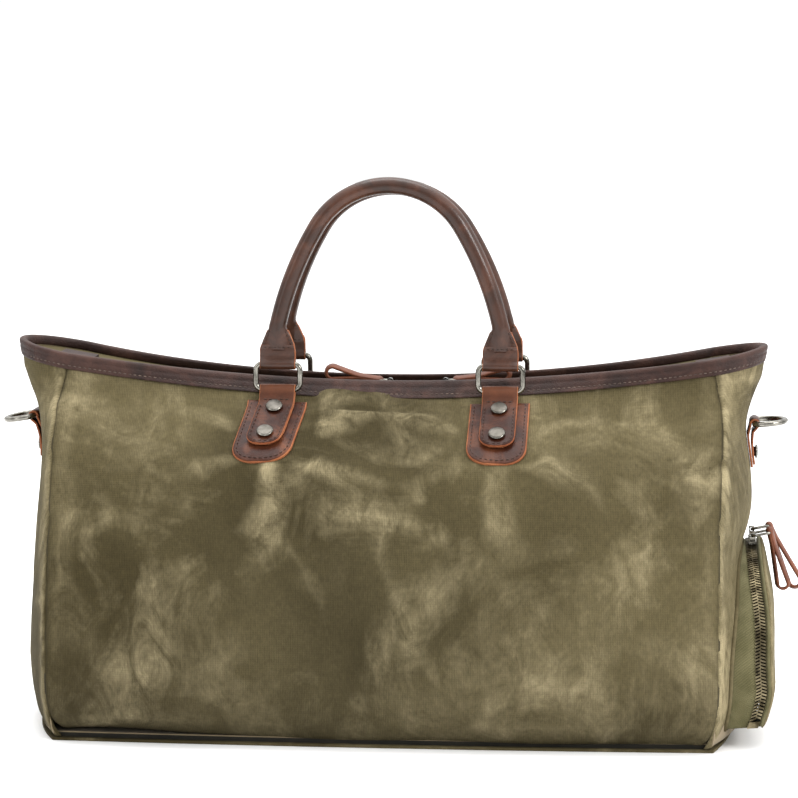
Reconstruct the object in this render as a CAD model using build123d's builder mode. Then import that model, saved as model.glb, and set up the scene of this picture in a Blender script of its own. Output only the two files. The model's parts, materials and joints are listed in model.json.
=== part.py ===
from build123d import *
import math
import os

os.makedirs("parts", exist_ok=True)

# ------------------------------------------------------------------ driving dimensions, mm
# Outside of the stuffed bag. One row per height:
# height, seam X, seam Y, middle Y, left end X, right end X
OUTLINE = [
    (2.0, 231.0, 104.0, 109.0, 254.0, 246.0),
    (25.0, 234.0, 112.0, 119.0, 260.0, 252.0),
    (60.0, 235.0, 113.0, 123.0, 261.0, 254.5),
    (100.0, 235.0, 110.0, 122.5, 258.0, 253.0),
    (131.0, 234.5, 103.0, 118.0, 255.5, 250.0),
    (150.0, 234.5, 97.0, 112.0, 254.0, 255.5),
    (170.0, 235.0, 88.0, 104.0, 252.5, 257.0),
    (199.0, 236.0, 73.0, 85.0, 251.5, 254.0),
    (217.0, 236.0, 61.0, 57.5, 254.0, 252.5),
    (233.0, 235.0, 49.0, 33.0, 259.0, 256.0),
    (246.0, 232.0, 42.0, 20.0, 264.0, 260.0),
    (265.0, 227.0, 39.0, 14.0, 268.0, 264.5),
    (290.0, 221.0, 37.0, 11.0, 271.0, 268.0),
]
CANVAS = 2.0  # outer canvas with its backing
LINING = 0.8
SEAM_GAP = 0.15
RIM_MIDDLE_Z = 245.0
RIM_TIP_X = 268.0
RIM_TIP_Z = 272.0
BINDING_OUT = 1.35
BINDING_DEEP = 10.0

ANCHOR_X = 79.0  # handle anchors, either side of the middle
PATCH_WIDE = 42.0
PATCH_LONG = 62.0
PATCH_THICK = 2.0
CHAPE_WIDE = 25.0
CHAPE_THICK = 3.5
RING_BAR_Y = 33.6
RING_BAR_Z = 241.0
RING_WIRE = 2.0  # radius
RING_SPAN = 31.5  # between the wire centres, along the bar
RING_TALL = 18.0
LOOP_BORE = 2.05
LOOP_OUT = 3.75
HANDLE_RADIUS = 6.0
CORE_RADIUS = 4.0
HANDLE_TOP_Z = 386.0
REAR_LEAN = 12.0  # the rear handle leans towards the middle, degrees
RIVET_RADIUS = 6.0

D_BAR_Z = 217.0
D_WIRE = 2.0
D_HALF = 15.0
D_LEG = 7.0
D_LEFT_BAR_X = 259.6
D_RIGHT_BAR_X = 258.2
D_LEFT_TILT = 10.0
D_RIGHT_TILT = 4.0

ZIP_DROP = 7.0  # main zip line below the rim
ZIP_HALF_LONG = 214.0
LEFT_SLIDER_X = -2.0
RIGHT_SLIDER_X = 38.0

SHOE_RADIUS = 88.0
SHOE_FOOT = 28.0
SHOE_X = 271.5
SHOE_Z = 44.0
SHOE_LEAN = 4.5
SHOE_SLIDER_TURN = 7.4

# ------------------------------------------------------------------ the rim line
RIM_RISE = RIM_TIP_Z - RIM_MIDDLE_Z
RIM_RADIUS = (RIM_TIP_X**2 + RIM_RISE**2) / (2 * RIM_RISE)
RIM_CENTRE_Z = RIM_MIDDLE_Z + RIM_RADIUS


def rim_z(x, drop):
    """Height of the rim line at x, lowered by drop."""
    return RIM_CENTRE_Z - math.sqrt((RIM_RADIUS + drop) ** 2 - x * x)


def rim_block(drop, floor_z):
    """Everything under the rim line, down to floor_z."""
    half = 290.0
    with BuildPart() as block:
        with BuildSketch(Plane.XZ):
            with BuildLine():
                ThreePointArc((-half, rim_z(half, drop)), (0, rim_z(0, drop)), (half, rim_z(half, drop)))
                Line((half, rim_z(half, drop)), (half, floor_z))
                Line((half, floor_z), (-half, floor_z))
                Line((-half, floor_z), (-half, rim_z(half, drop)))
            make_face()
        extrude(amount=160, both=True)
    return block.part


def rim_strip(drop_top, drop_low, half, y_from, y_to):
    """A strip that follows the rim line, from y_from to y_to."""
    with BuildPart() as strip:
        with BuildSketch(Plane.XZ.offset(-y_to)):
            with BuildLine():
                ThreePointArc(
                    (-half, rim_z(half, drop_top)), (0, rim_z(0, drop_top)), (half, rim_z(half, drop_top))
                )
                Line((half, rim_z(half, drop_top)), (half, rim_z(half, drop_low)))
                ThreePointArc(
                    (half, rim_z(half, drop_low)), (0, rim_z(0, drop_low)), (-half, rim_z(half, drop_low))
                )
                Line((-half, rim_z(half, drop_low)), (-half, rim_z(half, drop_top)))
            make_face()
        extrude(amount=y_to - y_from)
    return strip.part


# ------------------------------------------------------------------ skins of the bag
def stretch(column):
    """How much a level offset grows so that the skin keeps its true thickness."""
    factors = []
    for i in range(len(OUTLINE)):
        a = OUTLINE[max(i - 1, 0)]
        b = OUTLINE[min(i + 1, len(OUTLINE) - 1)]
        slope = (b[column] - a[column]) / (b[0] - a[0])
        factors.append(math.sqrt(1 + slope * slope))
    return factors


STRETCH = [stretch(column) for column in range(1, 6)]


def row_at(i, offset):
    """Seam X, seam Y, middle Y, left X, right X of row i, moved outwards by offset."""
    return [OUTLINE[i][k + 1] + offset * STRETCH[k][i] for k in range(5)]


def side_points(i, side, offset, gap):
    seam_x, seam_y, middle, left, right = row_at(i, offset)
    if side == "front":
        return (-seam_x + gap, -seam_y), (0, -middle), (seam_x - gap, -seam_y)
    if side == "rear":
        return (-seam_x + gap, seam_y), (0, middle), (seam_x - gap, seam_y)
    if side == "left":
        return (-seam_x, -seam_y + gap), (-left, 0), (-seam_x, seam_y - gap)
    return (seam_x, -seam_y + gap), (right, 0), (seam_x, seam_y - gap)


def skin(side, outer, inner):
    """One side of the bag between two offsets from the outside surface."""
    with BuildPart() as band:
        for i in range(len(OUTLINE)):
            a, b, c = side_points(i, side, outer, SEAM_GAP)
            d, e, f = side_points(i, side, inner, SEAM_GAP)
            with BuildSketch(Plane.XY.offset(OUTLINE[i][0])):
                with BuildLine():
                    ThreePointArc(a, b, c)
                    Line(c, f)
                    ThreePointArc(f, e, d)
                    Line(d, a)
                make_face()
        loft()
    return band.part


def outline_face(i, offset, z):
    """Level outline of row i as a sketch at height z."""
    with BuildSketch(Plane.XY.offset(z)) as face:
        with BuildLine():
            for side in ("front", "right"):
                a, b, c = side_points(i, side, offset, 0)
                ThreePointArc(a, b, c)
            for side in ("rear", "left"):
                a, b, c = side_points(i, side, offset, 0)
                ThreePointArc(c, b, a)
        make_face()
    return face.sketch


def whole(offset):
    """The whole bag as one solid, moved outwards by offset."""
    faces = [outline_face(i, offset, OUTLINE[i][0]) for i in range(len(OUTLINE))]
    with BuildPart() as solid:
        loft(faces)
    return solid.part


def save(part, name):
    part.label = name
    export_step(part, "parts/" + name + ".step")


under_rim = rim_block(0.0, -5.0)
lined_space = rim_block(0.3, 5.2)
inside_lining = whole(-3.05)

# ------------------------------------------------------------------ shoe compartment frame
LEAN = math.radians(SHOE_LEAN)
SHOE_PLANE = Plane(
    origin=(SHOE_X, 0, SHOE_Z),
    x_dir=(0, 1, 0),
    z_dir=(math.cos(LEAN), 0, math.sin(LEAN)),
)


def arch(radius, foot, z_from, z_to):
    """A solid arch standing on the shoe plane, between two distances from it."""
    with BuildPart() as block:
        with BuildSketch(SHOE_PLANE.offset(z_from)):
            with BuildLine():
                ThreePointArc((radius, 0), (0, radius), (-radius, 0))
                Line((-radius, 0), (-radius, -foot))
                Line((-radius, -foot), (radius, -foot))
                Line((radius, -foot), (radius, 0))
            make_face()
        extrude(amount=z_to - z_from)
    return block.part


def arch_band(r_in, r_out, foot, z_from, z_to):
    """An open-footed arch strip."""
    return arch(r_out, foot, z_from, z_to) - arch(r_in, foot + 1, z_from - 1, z_to + 1)


shoe_hole = arch(SHOE_RADIUS + 0.7, SHOE_FOOT + 1.5, -70, 10)

# ------------------------------------------------------------------ canvas panels
with BuildPart() as front_panel:
    add(skin("front", 0, -CANVAS))
    add(under_rim, mode=Mode.INTERSECT)
save(front_panel.part, "front_panel")

with BuildPart() as rear_panel:
    add(skin("rear", 0, -CANVAS))
    add(under_rim, mode=Mode.INTERSECT)
save(rear_panel.part, "rear_panel")

with BuildPart() as left_gusset:
    add(skin("left", 0, -CANVAS))
    add(under_rim, mode=Mode.INTERSECT)
save(left_gusset.part, "left_gusset")

with BuildPart() as right_gusset:
    add(skin("right", 0, -CANVAS))
    add(under_rim, mode=Mode.INTERSECT)
    add(shoe_hole, mode=Mode.SUBTRACT)
save(right_gusset.part, "right_gusset")

with BuildPart() as base_panel:
    add(outline_face(0, -0.2, 0))
    extrude(amount=1.95)
save(base_panel.part, "base_panel")

with BuildPart() as base_board:
    add(outline_face(0, -3.6, 2.0))
    extrude(amount=3.0)
save(base_board.part, "base_board")

# ------------------------------------------------------------------ lining
LINING_OUT = -CANVAS - 0.1
LINING_IN = LINING_OUT - LINING

with BuildPart() as lining_front:
    add(skin("front", LINING_OUT, LINING_IN))
    add(lined_space, mode=Mode.INTERSECT)
save(lining_front.part, "lining_front")

with BuildPart() as lining_rear:
    add(skin("rear", LINING_OUT, LINING_IN))
    add(lined_space, mode=Mode.INTERSECT)
save(lining_rear.part, "lining_rear")

with BuildPart() as lining_left:
    add(skin("left", LINING_OUT, LINING_IN))
    add(lined_space, mode=Mode.INTERSECT)
save(lining_left.part, "lining_left")

with BuildPart() as lining_right:
    add(skin("right", LINING_OUT, LINING_IN))
    add(lined_space, mode=Mode.INTERSECT)
    add(shoe_hole, mode=Mode.SUBTRACT)
save(lining_right.part, "lining_right")

with BuildPart() as lining_base:
    add(outline_face(0, -3.6, 5.1))
    extrude(amount=LINING)
save(lining_base.part, "lining_base")

# ------------------------------------------------------------------ rim binding
# A leather strip folded over the rim: outer leg, top and a shorter inner leg.
binding_blank = whole(BINDING_OUT) - whole(-4.3)
wrapped_edge = (whole(0.05) - inside_lining) & rim_block(-0.05, -5)
inner_room = inside_lining & rim_block(5.0, -5)

with BuildPart() as rim_binding:
    add(binding_blank)
    add(rim_strip(-1.4, BINDING_DEEP, 289, -160, 160), mode=Mode.INTERSECT)
    add(wrapped_edge, mode=Mode.SUBTRACT)
    add(inner_room, mode=Mode.SUBTRACT)
save(rim_binding.part, "rim_binding")

# ------------------------------------------------------------------ main zip
with BuildPart() as front_zip_panel:
    add(rim_strip(ZIP_DROP - 1.6, ZIP_DROP - 0.4, 285, -100, -9))
    add(inside_lining, mode=Mode.INTERSECT)
save(front_zip_panel.part, "front_zip_panel")

with BuildPart() as rear_zip_panel:
    add(rim_strip(ZIP_DROP - 1.6, ZIP_DROP - 0.4, 285, 9, 100))
    add(inside_lining, mode=Mode.INTERSECT)
save(rear_zip_panel.part, "rear_zip_panel")

with BuildPart() as main_zip_tape_front:
    add(rim_strip(ZIP_DROP - 0.3, ZIP_DROP + 0.3, 232, -15, -3.05))
    add(inside_lining, mode=Mode.INTERSECT)
save(main_zip_tape_front.part, "main_zip_tape_front")

with BuildPart() as main_zip_tape_rear:
    add(rim_strip(ZIP_DROP - 0.3, ZIP_DROP + 0.3, 232, 3.05, 15))
    add(inside_lining, mode=Mode.INTERSECT)
save(main_zip_tape_rear.part, "main_zip_tape_rear")

with BuildPart() as main_zip_chain:
    add(rim_strip(ZIP_DROP - 1.3, ZIP_DROP + 1.3, ZIP_HALF_LONG, -3, 3))
save(main_zip_chain.part, "main_zip_chain")

for name, sign in (("zip_end_left", -1), ("zip_end_right", 1)):
    with BuildPart() as zip_end:
        with Locations((sign * 228, 0, rim_z(228, ZIP_DROP - 2.9))):
            Box(24, 30, 8)
        add(rim_strip(ZIP_DROP - 3.6, ZIP_DROP - 1.7, 285, -20, 20), mode=Mode.INTERSECT)
    save(zip_end.part, name)


def slider_turn(x):
    """Turn about the rim centre that carries the middle of the zip to x."""
    angle = math.degrees(math.asin(x / (RIM_RADIUS + ZIP_DROP)))
    return Pos(0, 0, RIM_CENTRE_Z) * Rot(0, -angle, 0) * Pos(0, 0, -RIM_CENTRE_Z)


ZIP_LINE_Z = rim_z(0, ZIP_DROP)
PULL_PIN_UP = 5.6  # pull pin above the zip line

with BuildPart() as slider_blank:
    with Locations((0, 0, ZIP_LINE_Z + 1.9)):
        Box(12, 10, 3)
    with Locations((0, 0, ZIP_LINE_Z - 0.55)):
        Box(14, 6.3, 4, mode=Mode.SUBTRACT)
    with Locations((0, 0, ZIP_LINE_Z + PULL_PIN_UP)):
        Cylinder(2.4, 4, rotation=(90, 0, 0))
    with Locations((0, 0, ZIP_LINE_Z + 3.4)):
        Box(7, 4, 2)
    with Locations((0, 0, ZIP_LINE_Z + PULL_PIN_UP)):
        Cylinder(1.3, 5, rotation=(90, 0, 0), mode=Mode.SUBTRACT)

for name, x in (("main_slider_left", LEFT_SLIDER_X), ("main_slider_right", RIGHT_SLIDER_X)):
    save(slider_turn(x) * slider_blank.part, name)


def teardrop_pull(pin_x, pin_z, tip_x, tip_z, big, wide):
    """A metal fork on a pin, then a folded leather strip that ends in a loop."""
    run = math.hypot(tip_x - pin_x, tip_z - pin_z)
    along = Plane(
        origin=(pin_x, 0, pin_z),
        x_dir=(tip_x - pin_x, 0, tip_z - pin_z),
        z_dir=(0, -1, 0),
    )
    with BuildPart() as pull:
        with BuildSketch(along):
            with Locations((9, 0)):
                Circle(2.2)
            with Locations((run - big, 0)):
                Circle(big)
            make_hull()
        extrude(amount=wide / 2, both=True)
        with BuildSketch(along):
            with Locations((18, 0)):
                Circle(0.6)
            with Locations((run - big, 0)):
                Circle(big - 1.8)
            make_hull()
        extrude(amount=wide, both=True, mode=Mode.SUBTRACT)
        for y in (-3.1, 3.1):
            with BuildSketch(along.offset(y)):
                with Locations((4.5, 0)):
                    SlotOverall(11.6, 2.6)
            extrude(amount=0.8, both=True)
        with BuildSketch(along):
            Circle(1.2)
        extrude(amount=3.1, both=True)
    return pull.part


PIN_Z = ZIP_LINE_Z + PULL_PIN_UP
save(slider_turn(LEFT_SLIDER_X) * teardrop_pull(0, PIN_Z, -47, PIN_Z + 6.5, 5.6, 9), "main_pull_left")
save(slider_turn(RIGHT_SLIDER_X) * teardrop_pull(0, PIN_Z, 47, PIN_Z + 4.5, 5.0, 9), "main_pull_right")

# ------------------------------------------------------------------ handle anchors
PATCH_NORMAL = (0, -0.545, 0.8385)
FRONT_PATCH = Plane(origin=(0, -57, 217), x_dir=(1, 0, 0), z_dir=PATCH_NORMAL)
front_patch_skin = skin("front", PATCH_THICK + 0.05, 0.05)
front_chape_skin = skin("front", PATCH_THICK + 0.1 + CHAPE_THICK, PATCH_THICK + 0.1)
TO_REAR = Rot(0, 0, 180)


def rounded_prism(x, wide, y_low, y_high):
    """Prism through the upper front slope: straight sides, round lower end."""
    radius = wide / 2
    with BuildPart() as prism:
        with BuildSketch(FRONT_PATCH.offset(-14)):
            with Locations((x, (y_low + radius + y_high) / 2)):
                Rectangle(wide, y_high - y_low - radius)
            with Locations((x, y_low + radius)):
                Circle(radius)
        extrude(amount=34)
    return prism.part


binding_space = whole(BINDING_OUT + 0.15) & rim_strip(-1.4, BINDING_DEEP + 0.2, 289, -160, 160)

for name, x in (("left", -ANCHOR_X), ("right", ANCHOR_X)):
    with BuildPart() as patch:
        add(front_patch_skin)
        add(rounded_prism(x, PATCH_WIDE, -37, PATCH_LONG - 37), mode=Mode.INTERSECT)
        add(binding_space, mode=Mode.SUBTRACT)
    save(patch.part, "patch_front_" + name)
    save(TO_REAR * patch.part, "patch_rear_" + {"left": "right", "right": "left"}[name])

    with BuildPart() as chape:
        add(front_chape_skin)
        add(rounded_prism(x, CHAPE_WIDE, -24, 34), mode=Mode.INTERSECT)
        with Locations((x, -RING_BAR_Y, RING_BAR_Z)):
            Cylinder(LOOP_OUT, CHAPE_WIDE, rotation=(0, 90, 0))
        with Locations((x, -RING_BAR_Y, RING_BAR_Z)):
            Cylinder(LOOP_BORE, CHAPE_WIDE + 4, rotation=(0, 90, 0), mode=Mode.SUBTRACT)
        add(binding_space, mode=Mode.SUBTRACT)
    save(chape.part, "chape_front_" + name)
    save(TO_REAR * chape.part, "chape_rear_" + {"left": "right", "right": "left"}[name])

# Capped rivets through each chape: dome, shank and a washer on the lining side.
with BuildPart() as front_rivets:
    for x in (-ANCHOR_X, ANCHOR_X):
        for y in (-13.0, 14.0):
            with BuildSketch(FRONT_PATCH.offset(9)):
                with Locations((x, y)):
                    Circle(RIVET_RADIUS)
            extrude(amount=-3.4)
for_caps = front_rivets.part - (whole(PATCH_THICK + 0.15 + CHAPE_THICK))
handle_rivets = Compound(children=[for_caps, TO_REAR * for_caps])
save(handle_rivets, "handle_rivets")


# ------------------------------------------------------------------ rings and handles
def lean(angle):
    """Turn about the front ring bar, towards the middle of the bag."""
    return Pos(0, -RING_BAR_Y, RING_BAR_Z) * Rot(-angle, 0, 0) * Pos(0, RING_BAR_Y, -RING_BAR_Z)


def ring(x):
    with BuildPart() as wire:
        with BuildLine():
            FilletPolyline(
                (x - RING_SPAN / 2, -RING_BAR_Y, RING_BAR_Z),
                (x - RING_SPAN / 2, -RING_BAR_Y, RING_BAR_Z + RING_TALL),
                (x + RING_SPAN / 2, -RING_BAR_Y, RING_BAR_Z + RING_TALL),
                (x + RING_SPAN / 2, -RING_BAR_Y, RING_BAR_Z),
                radius=3.2,
                close=True,
            )
        with BuildSketch(Plane(origin=(x, -RING_BAR_Y, RING_BAR_Z), z_dir=(1, 0, 0))):
            Circle(RING_WIRE)
        sweep()
    return wire.part


TOP_ARC_X = 51.0
TOP_ARC_Z = 357.0
LEG_Z = 286.0
TOP_BAR_Z = RING_BAR_Z + RING_TALL


def handle_line(radius, leg_z):
    """A round bar along the handle's arch, on the front ring bars."""
    rise = HANDLE_TOP_Z - TOP_ARC_Z
    top_radius = (TOP_ARC_X**2 + rise**2) / (2 * rise)
    slope = math.atan2(TOP_ARC_X, top_radius - rise)
    with BuildPart() as bar:
        with BuildLine(Plane.XZ.offset(RING_BAR_Y)):
            top = ThreePointArc((-TOP_ARC_X, TOP_ARC_Z), (0, HANDLE_TOP_Z), (TOP_ARC_X, TOP_ARC_Z))
            TangentArc((TOP_ARC_X, TOP_ARC_Z), (ANCHOR_X, leg_z), tangent=top % 1)
            TangentArc((-TOP_ARC_X, TOP_ARC_Z), (-ANCHOR_X, leg_z), tangent=-(top % 0))
        with BuildSketch(Plane(origin=(0, -RING_BAR_Y, HANDLE_TOP_Z), z_dir=(1, 0, 0))):
            Circle(radius)
        sweep()
    return bar.part


core_bar = handle_line(CORE_RADIUS - 0.05, LEG_Z + 3)
cover_bar = handle_line(HANDLE_RADIUS, LEG_Z)
bore_bar = handle_line(CORE_RADIUS, LEG_Z + 2.9)

with BuildPart() as ears:
    for x in (-ANCHOR_X, ANCHOR_X):
        with BuildSketch(Plane.XZ.offset(RING_BAR_Y)):
            with BuildLine():
                Polyline(
                    (x - 12.5, TOP_BAR_Z),
                    (x + 12.5, TOP_BAR_Z),
                    (x + 12.5, TOP_BAR_Z + 22),
                    (x + 6.0, TOP_BAR_Z + 34),
                    (x - 6.0, TOP_BAR_Z + 34),
                    (x - 12.5, TOP_BAR_Z + 22),
                    close=True,
                )
            make_face()
        extrude(amount=2.6, both=True)
        with Locations((x, -RING_BAR_Y, TOP_BAR_Z)):
            Cylinder(LOOP_OUT, CHAPE_WIDE, rotation=(0, 90, 0))
            Cylinder(LOOP_BORE, CHAPE_WIDE + 4, rotation=(0, 90, 0), mode=Mode.SUBTRACT)

with BuildPart() as handle_cover:
    add(ears.part)
    add(cover_bar)
    add(bore_bar, mode=Mode.SUBTRACT)

save(handle_cover.part, "front_handle_cover")
save(core_bar, "front_handle_core")
save(TO_REAR * lean(REAR_LEAN) * handle_cover.part, "rear_handle_cover")
save(TO_REAR * lean(REAR_LEAN) * core_bar, "rear_handle_core")
save(ring(-ANCHOR_X), "ring_front_left")
save(ring(ANCHOR_X), "ring_front_right")
save(TO_REAR * lean(REAR_LEAN) * ring(ANCHOR_X), "ring_rear_left")
save(TO_REAR * lean(REAR_LEAN) * ring(-ANCHOR_X), "ring_rear_right")

# ------------------------------------------------------------------ end tabs and D-rings
TAB_WIDE = 23.5
side_rivets = []
for name, sign, bar_x, tilt in (
    ("left", -1, D_LEFT_BAR_X, D_LEFT_TILT),
    ("right", 1, D_RIGHT_BAR_X, -D_RIGHT_TILT),
):
    tab_skin = skin(name, CHAPE_THICK + 0.05, 0.05)
    with BuildPart() as tab:
        add(tab_skin)
        with BuildSketch(Plane.YZ):
            with Locations((0, D_BAR_Z - 11)):
                Rectangle(TAB_WIDE, 40)
        extrude(amount=sign * 290, mode=Mode.INTERSECT)
        with Locations((sign * bar_x, 0, D_BAR_Z)):
            Cylinder(LOOP_OUT, TAB_WIDE, rotation=(90, 0, 0))
        with Locations((sign * bar_x, 0, D_BAR_Z)):
            Cylinder(LOOP_BORE, TAB_WIDE + 4, rotation=(90, 0, 0), mode=Mode.SUBTRACT)
    save(tab.part, "side_tab_" + name)

    with BuildPart() as rivet:
        with Locations((sign * 256.5, 0, D_BAR_Z - 21)):
            Cylinder(5, 5, rotation=(0, 90, 0))
        add(whole(0.1), mode=Mode.SUBTRACT)
        add(tab.part, mode=Mode.SUBTRACT)
    side_rivets.append(rivet.part.solids().sort_by(Axis.X)[-1 if sign > 0 else 0])

    with BuildPart() as d_ring:
        with BuildLine():
            FilletPolyline(
                (0, -D_HALF, 0),
                (0, D_HALF, 0),
                (D_LEG + D_HALF, D_HALF, 0),
                (D_LEG + D_HALF, -D_HALF, 0),
                radius=(3.0, 3.0, D_HALF - 0.1, D_HALF - 0.1),
                close=True,
            )
        with BuildSketch(Plane.XZ):
            Circle(D_WIRE)
        sweep()
    facing = Rot(0, 0, 0 if sign > 0 else 180)
    save(Pos(sign * bar_x, 0, D_BAR_Z) * facing * Rot(0, tilt, 0) * d_ring.part, "d_ring_" + name)
save(Compound(children=side_rivets), "side_rivets")

# ------------------------------------------------------------------ shoe compartment
# The zip runs up one side of an arch, over the top and down the other side. The wall
# stands out of the right gusset; the door closes the outer end.
CHAIN_IN = SHOE_RADIUS - 1.5
CHAIN_OUT = SHOE_RADIUS + 1.5
TAPE_IN = SHOE_RADIUS - 0.5
TAPE_OUT = SHOE_RADIUS + 0.5

with BuildPart() as shoe_wall_tape:
    add(arch_band(TAPE_IN, TAPE_OUT, SHOE_FOOT, -40, -12.02))
    add(whole(-4.0), mode=Mode.SUBTRACT)
save(shoe_wall_tape.part, "shoe_wall_tape")

save(arch_band(CHAIN_IN, CHAIN_OUT, SHOE_FOOT - 5, -12, -8.1), "shoe_chain_wall")
save(arch_band(CHAIN_IN, CHAIN_OUT, SHOE_FOOT - 5, -7.9, -4.0), "shoe_chain_door")
save(arch_band(TAPE_IN, TAPE_OUT, SHOE_FOOT - 1, -3.98, -1.55), "shoe_door_tape")

with BuildPart() as shoe_door:
    add(arch(SHOE_RADIUS + 2, SHOE_FOOT, -1.5, 0.5))
    add(arch_band(SHOE_RADIUS - 3, SHOE_RADIUS - 0.6, SHOE_FOOT - 1, -3.9, -1.5))
save(shoe_door.part, "shoe_door")

with BuildPart() as shoe_sill:
    with BuildSketch(SHOE_PLANE.offset(-40)):
        with Locations((0, -SHOE_FOOT + 0.7)):
            Rectangle(2 * TAPE_IN - 0.4, 1.4)
    extrude(amount=35.8)
    add(whole(-4.0), mode=Mode.SUBTRACT)
save(shoe_sill.part, "shoe_sill")


def liner_arch(radius, sole, x_from, x_to):
    with BuildPart() as block:
        with BuildSketch(Plane.YZ.offset(x_from)):
            with BuildLine():
                ThreePointArc((radius, SHOE_Z), (0, SHOE_Z + radius), (-radius, SHOE_Z))
                Line((-radius, SHOE_Z), (-radius, sole))
                Line((-radius, sole), (radius, sole))
                Line((radius, sole), (radius, SHOE_Z))
            make_face()
        extrude(amount=x_to - x_from)
    return block.part


save(liner_arch(84, 18.2, 105, 243) - liner_arch(83, 19.2, 106, 245), "shoe_liner")


def shoe_turn(angle):
    """Turn about the axis of the arch."""
    return SHOE_PLANE.location * Rot(0, 0, angle) * SHOE_PLANE.location.inverse()


# Each slider rides the door half of the chain, so it swings out with the door.
SHOE_PIN_R = SHOE_RADIUS + 7.4
SHOE_PIN_DEEP = 6.6
with BuildPart() as shoe_slider_blank:
    with BuildSketch(SHOE_PLANE.offset(-9.4)):
        with Locations((0, SHOE_RADIUS + 2.7)):
            Rectangle(11, 2.0)
    extrude(amount=5.4)
    add(arch(SHOE_RADIUS + 1.65, 5, -14, -2), mode=Mode.SUBTRACT)
    with BuildSketch(SHOE_PLANE.offset(-8.6)):
        with Locations((0, SHOE_PIN_R - 2)):
            Rectangle(4.6, 4.4)
        with Locations((0, SHOE_PIN_R)):
            Circle(2.4)
    extrude(amount=4.0)
SHOE_PIN = SHOE_PLANE * Pos(0, SHOE_PIN_R, -SHOE_PIN_DEEP)
shoe_slider = shoe_slider_blank.part - SHOE_PIN * Rot(90, 0, 0) * Cylinder(1.3, 9, rotation=(0, 90, 0))


def shoe_pull(tip_x, tip_z, big):
    """Fork over the slider, then a folded leather loop that hangs over the door."""
    start = (SHOE_PIN.position.X, SHOE_PIN.position.Z)
    knee = (start[0] + 12.5, start[1] + 2.6)
    run = math.hypot(tip_x - knee[0], tip_z - knee[1])
    side = Plane(
        origin=(knee[0], 0, knee[1]),
        x_dir=(tip_x - knee[0], 0, tip_z - knee[1]),
        z_dir=(0, -1, 0),
    )
    fork_line = Plane(
        origin=(start[0], 0, start[1]),
        x_dir=(knee[0] - start[0], 0, knee[1] - start[1]),
        z_dir=(0, -1, 0),
    )
    with BuildPart() as pull:
        with BuildSketch(side):
            with Locations((2, 0)):
                Circle(2.2)
            with Locations((run - big, 0)):
                Circle(big)
            make_hull()
        extrude(amount=4.5, both=True)
        with BuildSketch(side):
            with Locations((12, 0)):
                Circle(0.6)
            with Locations((run - big, 0)):
                Circle(big - 1.8)
            make_hull()
        extrude(amount=9, both=True, mode=Mode.SUBTRACT)
        for y in (-3.7, 3.7):
            with BuildSketch(fork_line.offset(y)):
                with Locations((6.2, 0)):
                    SlotOverall(15.2, 2.6)
            extrude(amount=0.8, both=True)
        with BuildSketch(fork_line):
            Circle(1.2)
        extrude(amount=3.7, both=True)
    return pull.part


save(shoe_turn(SHOE_SLIDER_TURN) * shoe_slider, "shoe_slider_front")
save(shoe_turn(-SHOE_SLIDER_TURN) * shoe_slider, "shoe_slider_rear")
save(shoe_turn(SHOE_SLIDER_TURN) * shoe_pull(281, 98, 5.0), "shoe_pull_front")
save(shoe_turn(-SHOE_SLIDER_TURN) * shoe_pull(291, 97, 5.4), "shoe_pull_rear")

shoe_stops = []
for y in (-SHOE_RADIUS, SHOE_RADIUS):
    with BuildPart() as stop:
        with BuildSketch(SHOE_PLANE.offset(-12)):
            with Locations((y, -SHOE_FOOT + 3.7)):
                Rectangle(4, 2.4)
        extrude(amount=3.8)
    shoe_stops.append(stop.part)
save(Compound(children=shoe_stops), "shoe_stops")

# ------------------------------------------------------------------ pockets on the lining


def pouch(side, x_from, x_to, z_from, z_to, deep, open_top):
    """A flat fabric pouch against the lining, as one thin-walled solid."""
    outer_band = skin(side, LINING_IN - 0.15, LINING_IN - 0.15 - deep)
    room_band = skin(side, LINING_IN - 0.75, LINING_IN + 0.45 - deep)
    with BuildPart() as bag:
        add(outer_band)
        with Locations(((x_from + x_to) / 2, 0, (z_from + z_to) / 2)):
            Box(x_to - x_from, 300, z_to - z_from, mode=Mode.INTERSECT)
    top = z_to + 10 if open_top else z_to - 1.2
    with BuildPart() as room:
        add(room_band)
        with Locations(((x_from + x_to) / 2, 0, (z_from + 1.2 + top) / 2)):
            Box(x_to - x_from - 2.4, 300, top - z_from - 1.2, mode=Mode.INTERSECT)
    return bag.part - room.part


slip_pocket = pouch("front", -150, 95, 60, 150, 6.0, True)
divider = skin("front", LINING_IN - 0.3, LINING_IN - 5.8) & Pos(-10, 0, 105) * Box(1.2, 300, 89)
save(slip_pocket + divider, "slip_pocket")

ZIP_SLOT_Z = 140.0
pocket_front = skin("rear", LINING_IN - 4.5, LINING_IN - 9.0)
wall_pocket = pouch("rear", -120, 90, 50, 152, 7.0, False)
wall_pocket = wall_pocket - (pocket_front & Pos(-15, 100, ZIP_SLOT_Z) * Box(172, 90, 4.6))
save(wall_pocket, "wall_pocket")

pocket_chain_band = skin("rear", LINING_IN - 5.6, LINING_IN - 7.8)
save(pocket_chain_band & Pos(-15, 100, ZIP_SLOT_Z) * Box(170, 90, 4.2), "wall_pocket_chain")
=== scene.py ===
import json
import math

import bmesh
import bpy
import numpy as np
from mathutils import Matrix, Vector
from mathutils.bvhtree import BVHTree


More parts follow.
